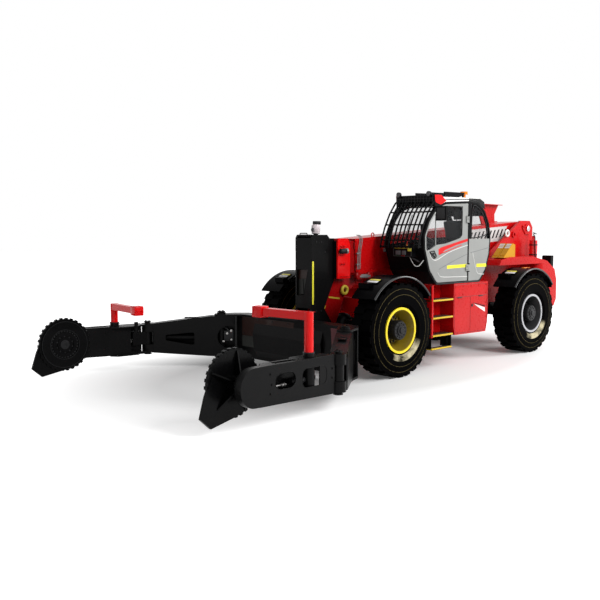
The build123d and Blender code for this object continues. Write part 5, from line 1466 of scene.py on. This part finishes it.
@dataclass
class HandlerDetails:
    """Bolts, weld beads, fittings, hoses and cover plates of the arms, pads, posts and beam."""

    root: ArmFrame = ArmFrame((1.45, 1.45), math.atan2(*reversed(ROOT_REACH)), "root_arm_{}")
    outer: ArmFrame = ArmFrame((2.4, 2.251), math.radians(5.2), "outer_arm_{}")
    openings: tuple[tuple[Flat, Flat, float], ...] = (
        ((0.487, 0.528), (0.224, 0.119), 0.078), ((1.006, 0.552), (0.176, 0.098), 0.098))
    elbow: Flat = (2.715, 2.3)
    elbow_turn: Flat = (0.996, 0.094)
    post_top: float = 1.124
    post_along: tuple[tuple[Side, float, float], ...] = ((Side.LEFT, 0.486, 0.19), (Side.RIGHT, 0.626, 0.0))
    out_face: float = 0.03
    in_face: float = -0.17
    pad_along: float = 1.558
    pad_height: float = 0.561
    pad_face: float = -0.331

    def pads(self, shop: Workshop) -> None:
        """Bolt rings, hub cap and raised rings on the pads' faces."""
        f, middle = self.pad_face, (self.pad_along, self.pad_height)
        small = shop.bolts(0.009, (0, -1, 0), ring_places(middle, 0.203, 28, f + 0.012))
        hub = shop.bolts(0.009, (0, -1, 0), ring_places(middle, 0.125, 10, f + 0.012, 0.3))
        hub_edge = [(0.07, 0.0), (0.07, 0.006), (0.062, 0.012), (0.026, 0.012), (0.024, 0.004)]
        centre = (self.pad_along, f, self.pad_height)
        cap = shop.cap(hub_edge, centre, (0, -1, 0))
        sections = [[(r, 0.0), (r + 0.006, -0.001), (r + 0.006, 0.0055), (r, 0.0055)] for r in (0.224, 0.35)]
        beads = [shop.turned(section, centre, (0, -1, 0), 48) for section in sections]
        self.outer.fit(shop, "pad_fittings", "bolt_black", (*small, *hub, cap, *beads), "pad_{}")

    def outer_arms(self, shop: Workshop) -> None:
        """Bolts, weld beads, opening rims, elbow covers, rod eyes and hoses of the outer arms."""
        places = [(0.15, 0.583), (0.15, 0.468), (1.235, 0.535), (1.26, 0.66), (1.26, 0.43)]
        out = shop.bolts(0.013, (0, 1, 0), lifted(places, self.out_face))
        inner = shop.bolts(0.013, (0, -1, 0), [(s, self.in_face, z) for s in (0.82, 1.08) for z in (0.66, 0.4)])
        beads = [shop.tube(lifted([(0.125, start), (1.44, end)], self.out_face - 0.002), WELD, order=2)
                 for start, end in ((0.752, 0.761), (0.262, 0.302))]
        greaser = [(0.0, 0.0), (0.008, 0.0), (0.008, 0.008), (0.004, 0.016), (0.0, 0.02)]
        grease = [shop.turned(greaser, (s, -0.05, 0.7535), (0, 0, 1), 12) for s in (0.7, 1.1)]
        rims = [shop.tube(rounded_box(*opening, self.out_face - 0.001), 0.0035, order=2) for opening in self.openings]
        (x, y), (cosine, sine) = self.elbow, self.elbow_turn
        cover = [(FRONT_AXLE + x + cosine * a - sine * b, y + sine * a + cosine * b)
                 for a, b in ((-0.075, -0.008), (0.075, -0.008), (0.075, 0.008), (-0.075, 0.008))]
        shop.both_sides("elbow_cover", "handler_black", [shop.plate(cover, Axis.Z, 0.35, 0.68)], "outer_arm_{}")
        stop = shop.block(at(2.27, 2.235, 0.395), at(2.302, 2.3, 0.685))
        shop.both_sides("elbow_stop", "handler_black", [stop], "root_arm_{}")
        self.outer.fit(shop, "outer_arm_trim", "handler_black", (*out, *inner, *beads, *grease, *rims))
        eye = [
            shop.block((0.352, -0.118, 0.455), (0.47, -0.07, 0.518), 0.012),
            shop.block((0.405, -0.112, 0.612), (0.452, -0.076, 0.634), 0.005),
            shop.block((0.885, -0.118, 0.456), (0.955, -0.07, 0.492), 0.01),
            shop.rod((0.95, -0.094, 0.474), (1.07, -0.094, 0.474), 0.015, 16),
        ]
        self.outer.fit(shop, "arm_rod_eyes", "bolt_steel", eye)
        rod = [shop.rod((0.47, -0.094, 0.486), (0.8, -0.094, 0.482), 0.036, 24, 0.006)]
        hoses = [shop.tube([(0.2, -0.06 - 1.1 * gap, 0.64), (0.42, -0.075 - gap, 0.655), (0.72, -0.08 - gap, 0.635),
                            (1.12, -0.085 - gap, 0.61)], 0.01) for gap in (0.0, 0.02)]
        self.outer.fit(shop, "arm_hoses", "hose_black", (*rod, *hoses))

    def collars(self, shop: Workshop) -> None:
        """A wiper ring with its greaser round each retaining post, and the screws, foot and mitre on the post."""
        for side, along, raised in self.post_along:
            section = [(0.0625, 0.0), (0.0745, 0.0), (0.0745, 0.008), (0.068, 0.014), (0.0625, 0.012)]
            ring = shop.turned(section, (along, -0.07, 0.808), (0, 0, 1), 40)
            nipple = shop.rod((along - 0.076, -0.07, 0.79), (along - 0.094, -0.07, 0.79), 0.006, 10)
            matrix = Matrix.Scale(side.sign, 4, (0, 1, 0)) @ self.outer.matrix
            collar = shop.placed((ring, nipple), matrix)
            shop.deliver(f"post_collar_{side.value}", "bolt_black", collar, f"outer_arm_{side.value}")
            top = self.post_top + raised
            screws = shop.bolts(0.01, (0, -1, 0), [(along + shift, -0.993, top - 0.05) for shift in (-0.04, 0.04)])
            foot = shop.block((along - 0.074, -0.99, top - 0.126), (along + 0.074, -0.82, top + 0.02), 0.012)
            mitre = shop.tube([(along - 0.05, y, top - 0.001) for y in (-0.123, -0.014)], 0.003, order=2)
            fittings = shop.placed((*screws, foot, mitre), matrix)
            shop.deliver(f"post_screws_{side.value}", "post_red", fittings, f"post_{side.value}")

    def root_arms(self, shop: Workshop) -> None:
        """Pin caps, weld beads, plates, fittings and valve block of the root arms."""
        length = math.hypot(*ROOT_REACH)
        caps = [shop.rod((length, 0, low), (length, 0, low + 0.012), 0.064, 28, 0.003) for low in (0.776, 0.226)]
        circle = [(length + x, y, z) for x, z, y in ring_places((0.0, 0.0), 0.036, 2, 0.788, 0.5)]
        caps += shop.bolts(0.012, (0, 0, 1), circle)
        beads = [shop.tube([(0.15, t, 0.873), (length - 0.118, t, 0.751)], WELD, order=2) for t in (0.11, -0.11)]
        plate = shop.block((0.36, -0.06, 0.838), (0.62, 0.06, 0.85), 0.004)
        lugs = [shop.block((length - 0.135, -0.118, z), (length - 0.105, -0.1, z + 0.06), 0.004)
                for z in (0.42, 0.55)]
        self.root.fit(shop, "root_arm_trim", "handler_black", (*caps, *beads, plate, *lugs))
        fittings = [
            shop.rod((-0.1, -0.086, 0.575), (-0.1, -0.06, 0.575), 0.02, 14, 0.004),
            shop.rod((-0.17, -0.086, 0.47), (-0.17, -0.06, 0.47), 0.016, 14, 0.004),
            shop.block((-0.058, -0.086, 0.43), (-0.02, -0.062, 0.458), 0.004),
            shop.block((-0.185, -0.08, 0.6), (-0.15, -0.06, 0.64), 0.004),
        ]
        self.root.fit(shop, "root_fittings", "bolt_steel", fittings)
        block = [shop.block((-0.205, -0.06, 0.44), (-0.045, 0.05, 0.62), 0.01),
                 *[shop.tube([(-0.12, gap - 0.04, 0.62), (-0.06, gap - 0.04, 0.7), (0.1, gap - 0.03, 0.69),
                              (0.3, gap - 0.03, 0.64)], 0.01) for gap in (0.0, 0.03, 0.06)]]
        self.root.fit(shop, "root_valves", "hose_black", block)

    def beam(self, shop: Workshop) -> None:
        """Cover plates, bolts and pin caps of the beam."""
        x = FRONT_AXLE + 1.25
        for name, finish, outline in (
            # The brown plate is a painted reflection on the beam's black inside face.
            ("beam_reflection_plate", "plate_brown", [(-1.13, 0.868), (0.165, 0.868), (0.11, 0.56), (-1.13, 0.56)]),
            ("beam_apron", "plate_grey", [(-1.13, 0.556), (0.11, 0.556), (0.06, 0.372), (-1.13, 0.372)]),
            ("beam_cheek", "plate_rose", [(0.97, 0.862), (1.12, 0.862), (1.12, 0.48), (1.0, 0.48)]),
        ):
            shop.deliver(name, finish, [shop.plate(outline, Axis.X, x, x + 0.004)], "carriage")
        screws = shop.bolts(0.011, (1, 0, 0),
                            [(x + 0.004, y, z) for y in (-1.08, -0.72, -0.36, 0.02) for z in (0.84, 0.6)])
        shop.deliver("beam_bolts", "bolt_black", screws, "carriage")
        pin = shop.cap([(0.068, 0.0), (0.068, 0.008), (0.06, 0.014)], at(1.45, 1.45, 0.939), (0, 0, 1), 28)
        pin_bolts = shop.bolts(0.012, (0, 0, 1), [at(1.45 + shift, 1.45, 0.953) for shift in (0.034, -0.034)])
        shop.deliver("root_pin_caps", "handler_black", shop.mirrored([pin, *pin_bolts]), "carriage")

    def build(self, shop: Workshop) -> None:
        """Build all of the handler's pieces."""
        self.pads(shop)
        self.outer_arms(shop)
        self.collars(shop)
        self.root_arms(shop)
        self.beam(shop)


# ---------------------------------------------------------------- rear and engine pod
@dataclass
class RearDetails:
    """Chock bands, boom pivot caps, tail lamps and extinguisher fittings at the rear."""

    tower_face: float = 0.436
    chock_slope: Flat = (0.743, 0.669)

    def build(self, shop: Workshop) -> None:
        """Build the rear's small pieces."""
        self.pivot(shop)
        self.chocks(shop)
        self.extinguisher(shop)
        self.lamps(shop)

    def pivot(self, shop: Workshop) -> None:
        """Silver pin ends, their retaining plates and the lashing rings on the tower."""
        x, z = BOOM_PIVOT
        cap = shop.cap([(0.055, 0.0), (0.055, 0.006), (0.047, 0.012)], (x, 0.455, z), (0, 1, 0))
        shop.deliver("pivot_caps", "rod_chrome", shop.mirrored([cap]))
        corners = ((0.175, 0.065), (0.175, 0.005), (0.07, -0.115), (-0.06, -0.135), (-0.06, -0.1), (0.045, -0.085),
                   (0.115, 0.01), (0.115, 0.065))
        outline = [(x + a, z + b) for a, b in corners]
        plate = shop.plate(outline, Axis.Y, 0.415, self.tower_face, 0.004)
        bolts = shop.bolts(0.014, (0, 1, 0), lifted([(x + 0.145, z + 0.035), (x - 0.03, z - 0.117)], self.tower_face))
        shop.deliver("pivot_plates", "body_red", shop.mirrored([plate, *bolts]))
        eye = shop.ring(0.056, 0.022, at(-4.265, self.tower_face, 2.255))
        shop.deliver("tower_rings", "stripe_white", shop.mirrored([eye]))

    def chocks(self, shop: Workshop) -> None:
        """White bands on the slopes of the two wheel chocks, and ribs along their feet."""
        low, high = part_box("wheel_chocks")
        x0, x1, top = low[0], high[0], high[2]
        cosine, sine = self.chock_slope
        tops, ribs = [], []
        for side_low, side_high in ((low[1], low[1] + 0.12), (high[1] - 0.12, high[1])):
            ribs += shop.row((x1 - 0.055, side_low - 0.002, low[2] + 0.02),
                             (x1 - 0.04, side_high + 0.002, low[2] + 0.05),
                             4, (-0.075, 0, 0), 0.003)
            for start in (0.015, 0.06, 0.105):
                line = [(x0 + 0.1 + cosine * a + sine * b, top - sine * a + cosine * b)
                        for a, b in ((start, 0.0), (start + 0.03, 0.0), (start + 0.03, 0.004), (start, 0.004))]
                tops.append(shop.plate(line, Axis.Y, side_low + 0.008, side_high - 0.008, 0.0005))
        shop.deliver("chock_tops", "stripe_white", tops)
        shop.deliver("chock_ribs", "chock_yellow", ribs)

    def extinguisher(self, shop: Workshop) -> None:
        """Valve, handle, gauge, hose and clamps of the extinguisher."""
        low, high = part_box("fire_extinguisher")
        x, y, top = (low[0] + high[0]) / 2, (low[1] + high[1]) / 2, high[2]
        handle = [
            shop.tube([(x, y, top - 0.02), (x, y, top + 0.03), (x - 0.05, y, top + 0.055)], 0.012, order=2),
            shop.block((x - 0.11, y - 0.01, top + 0.04), (x + 0.02, y + 0.01, top + 0.05), 0.003),
            shop.moved(shop.block((-0.11, -0.01, 0.0), (0.02, 0.01, 0.008), 0.003),
                       turn_at((x, y, top + 0.064), math.radians(-14), "Y")),
        ]
        r = 0.5 * (high[0] - low[0]) + 0.012
        spout = shop.tube([(x + 0.01, y + 0.02, top + 0.01), (x + 0.06, y + 0.07, top - 0.01),
                           (x + 0.075, y + r * 0.86, top - 0.1),
                           (x + 0.07, y + r * 0.9, low[2] + 0.26), (x + 0.055, y + r * 0.98, low[2] + 0.08)], 0.011)
        nozzle = shop.turned([(0.0, 0.0), (0.012, 0.0), (0.022, 0.075), (0.016, 0.075), (0.008, 0.01), (0.0, 0.008)],
                             (x + 0.055, y + r * 0.98, low[2] + 0.09), (0, 0, -1), 16)
        bands = [shop.turned([(0.0805, 0.0), (0.0835, 0.0), (0.0835, 0.022), (0.0805, 0.022)], (x, y, z), (0, 0, 1),
                             32) for z in (low[2] + 0.1, low[2] + 0.3)]
        shop.deliver("extinguisher_fittings", "hose_black", [*handle, spout, nozzle, *bands])
        gauge = shop.turned([(0.0, 0.0), (0.017, 0.0), (0.017, 0.01), (0.0, 0.012)],
                            (x + 0.01, y + 0.012, top + 0.012), (0.7, 0.7, 0), 16)
        shop.deliver("extinguisher_gauge", "bolt_steel", [gauge])

    def lamps(self, shop: Workshop) -> None:
        """Tail lamp clusters with red, amber and clear lenses."""
        low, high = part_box("rear_lamps")
        spans = [sorted((side * (high[1] - 0.245), side * (high[1] - 0.01))) for side in BOTH]
        shop.deliver("tail_housings", "frame_black", [
            shop.block((low[0] - 0.012, inner, 1.585), (low[0] + 0.03, outer, 1.79), 0.008)
            for inner, outer in spans])
        for colour, first, last, foot, top in (
            ("red", 0.1, 0.48, 1.7, 1.77),
            ("amber", 0.54, 0.9, 1.7, 1.77),
            ("clear", 0.1, 0.9, 1.61, 1.675),
        ):
            shop.deliver(f"tail_lens_{colour}", f"lens_{colour}", [
                shop.block((low[0] - 0.026, inner + first * (outer - inner), foot),
                           (low[0] - 0.01, inner + last * (outer - inner), top), 0.005)
                for inner, outer in spans])


@dataclass
class PodDetails:
    """Louvres, latches, handle and seams on the engine pod and its hood."""

    outer: float = -1.25
    fin_tilt: float = 35.0

    def build(self, shop: Workshop) -> None:
        """Build the pod's small pieces."""
        y = self.outer
        fin = shop.block((-1.98, -0.01, -0.0035), (-1.1, 0.006, 0.0035), 0.0015)
        tilt = math.radians(self.fin_tilt)
        fins = shop.copied(fin, [turn_at((0, y, 1.125 + 0.03 * step), tilt, "X") for step in range(14)])
        border = [(-2.02, 1.09), (-1.06, 1.09), (-1.06, 1.56), (-2.02, 1.56), (-2.02, 1.09)]
        frame = shop.tube(lifted(border, y - 0.003), 0.008, order=2)
        shop.deliver("hood_louvres", "frame_black", [*fins, frame], "hood")
        latches = [shop.block((x - 0.03, y - 0.012, 1.03), (x + 0.03, y + 0.002, 1.085), 0.005)
                   for x in (-2.1, -0.58)]
        pull = shop.tube([(-1.45, y + 0.001, 1.045), (-1.44, y - 0.03, 1.045), (-1.22, y - 0.03, 1.045),
                          (-1.21, y + 0.001, 1.045)], 0.008, order=2)
        shop.deliver("hood_latches", "bolt_black", [*latches, pull], "hood")
        seam = [(-2.2, 0.7), (-0.47, 0.7), (-0.47, 0.97), (-2.2, 0.97), (-2.2, 0.7)]
        shop.deliver("pod_seams", "deep_red", [shop.tube(lifted(seam, y - 0.0005), 0.004, order=2)])
        heads = [(x, y, z) for x in (-2.16, -1.74, -1.32, -0.9, -0.51) for z in (0.74, 0.93)]
        shop.deliver("pod_bolts", "body_red", shop.bolts(0.01, (0, -1, 0), heads))
        strip = shop.block((-1.92, y - 0.0025, 1.005), (-0.62, y, 1.022), 0.0005)
        shop.deliver("pod_strip", "stripe_yellow", [strip])
        low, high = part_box("exhaust")
        x, mid = (low[0] + high[0]) / 2, (low[1] + high[1]) / 2
        r = (high[0] - low[0]) / 2
        bands = [shop.turned([(r + 0.0005, 0.0), (r + 0.005, 0.0), (r + 0.005, 0.02), (r + 0.0005, 0.02)],
                             (x, mid, z), (0, 0, 1), 32)
                 for z in (1.5, 1.95)]
        shop.deliver("exhaust_bands", "bolt_steel", bands)


# ---------------------------------------------------------------- studio
@dataclass
class Studio:
    """Pale floor, soft lights, world and camera."""

    eye: Point = at(9.397, 9.091, 2.289)
    aim: Point = (-0.67694, -0.73082, -0.08744)
    lens: float = 46.77
    floor_radius: float = 80.0
    floor_tone: float = 0.8
    white_from: Flat = (2.0, 3.9)
    world_level: float = 0.34
    lights: tuple[tuple[str, Point, float, float], ...] = (
        ("key", (0.0, 13.0, 9.0), 7.0, 1600.0),
        ("fill", (14.0, -2.0, 5.0), 8.0, 150.0),
        ("rim", (-11.0, 7.0, 8.0), 7.0, 1100.0),
    )

    def floor(self) -> None:
        """A pale floor that keeps the shadow near the machine and shows white beyond it."""
        bpy.ops.object.select_all(action="DESELECT")
        bpy.ops.mesh.primitive_circle_add(vertices=96, radius=self.floor_radius, fill_type="NGON",
                                          location=(0, 0, -0.001))
        floor = bpy.context.object
        floor.name = "floor"
        tree = Tree.of_material("floor_pale")
        along, across, _ = tree.axes()
        distance = (along * along * 0.25 + across * across).root()
        away = distance.ramp(*self.white_from, 0.06, 1.0)
        lit = tree.node("ShaderNodeEmission", {}, {"Color": WHITE, "Strength": tree.seen() * away})
        plain = tree.node("ShaderNodeBsdfDiffuse", {}, {"Color": (self.floor_tone,) * 3})
        both = tree.node("ShaderNodeAddShader", {}, {0: lit, 1: plain})
        tree.put(tree.nodes["Material Output"].inputs["Surface"], both)
        floor.data.materials.append(tree.owner)

    def world(self) -> None:
        """White behind the object and a plain level of light on it."""
        tree = Tree(bpy.data.worlds.new("studio"), "Background")
        bpy.context.scene.world = tree.owner
        tree.set(Color=WHITE, Strength=tree.seen().ramp(0.0, 1.0, self.world_level, 1.0))

    @staticmethod
    def hold(data: bpy.types.Light | bpy.types.Camera, place: Point, direction: Vector) -> Piece:
        """Put a lamp or the camera at a place, pointing in a direction."""
        holder = bpy.data.objects.new(data.name, data)
        bpy.context.collection.objects.link(holder)
        holder.location = place
        holder.rotation_euler = direction.to_track_quat("-Z", "Y").to_euler()
        return holder

    def lamps(self) -> None:
        """A large key from the left, a low fill and a rim light, all aimed at the machine's middle."""
        for name, place, size, power in self.lights:
            lamp = bpy.data.lights.new(name, "AREA")
            lamp.shape, lamp.size, lamp.energy = "DISK", size, power
            self.hold(lamp, place, Vector((0, 0, 1.0)) - Vector(place))

    def camera(self) -> None:
        """The camera at its place."""
        camera = bpy.data.cameras.new("view")
        camera.lens, camera.sensor_width = self.lens, 36.0
        camera.clip_end = 200.0
        bpy.context.scene.camera = self.hold(camera, self.eye, Vector(self.aim))

    def build(self) -> None:
        """Set up the whole studio."""
        bpy.context.scene.view_settings.view_transform = "Standard"
        self.floor()
        self.world()
        self.lamps()
        self.camera()


def main() -> None:
    """Build the scene round the frame."""
    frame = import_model()
    bpy.ops.object.select_all(action="DESELECT")
    finishes = Finishes()
    finishes.dress_frame(frame["record"], frame["nodes"])
    Studio().build()
    shop = Workshop(finishes)
    assemblies = (WheelDetails(), FenderDetails(), MastDetails(), HeadDetails(), BoomDetails(), CabDetails(), Seat(),
                  SideDetails(), HandlerDetails(), RearDetails(), PodDetails())
    for assembly in assemblies:
        assembly.build(shop)
        LOG.info("finished %s", type(assembly).__name__)


if __name__ == "__main__":
    main()
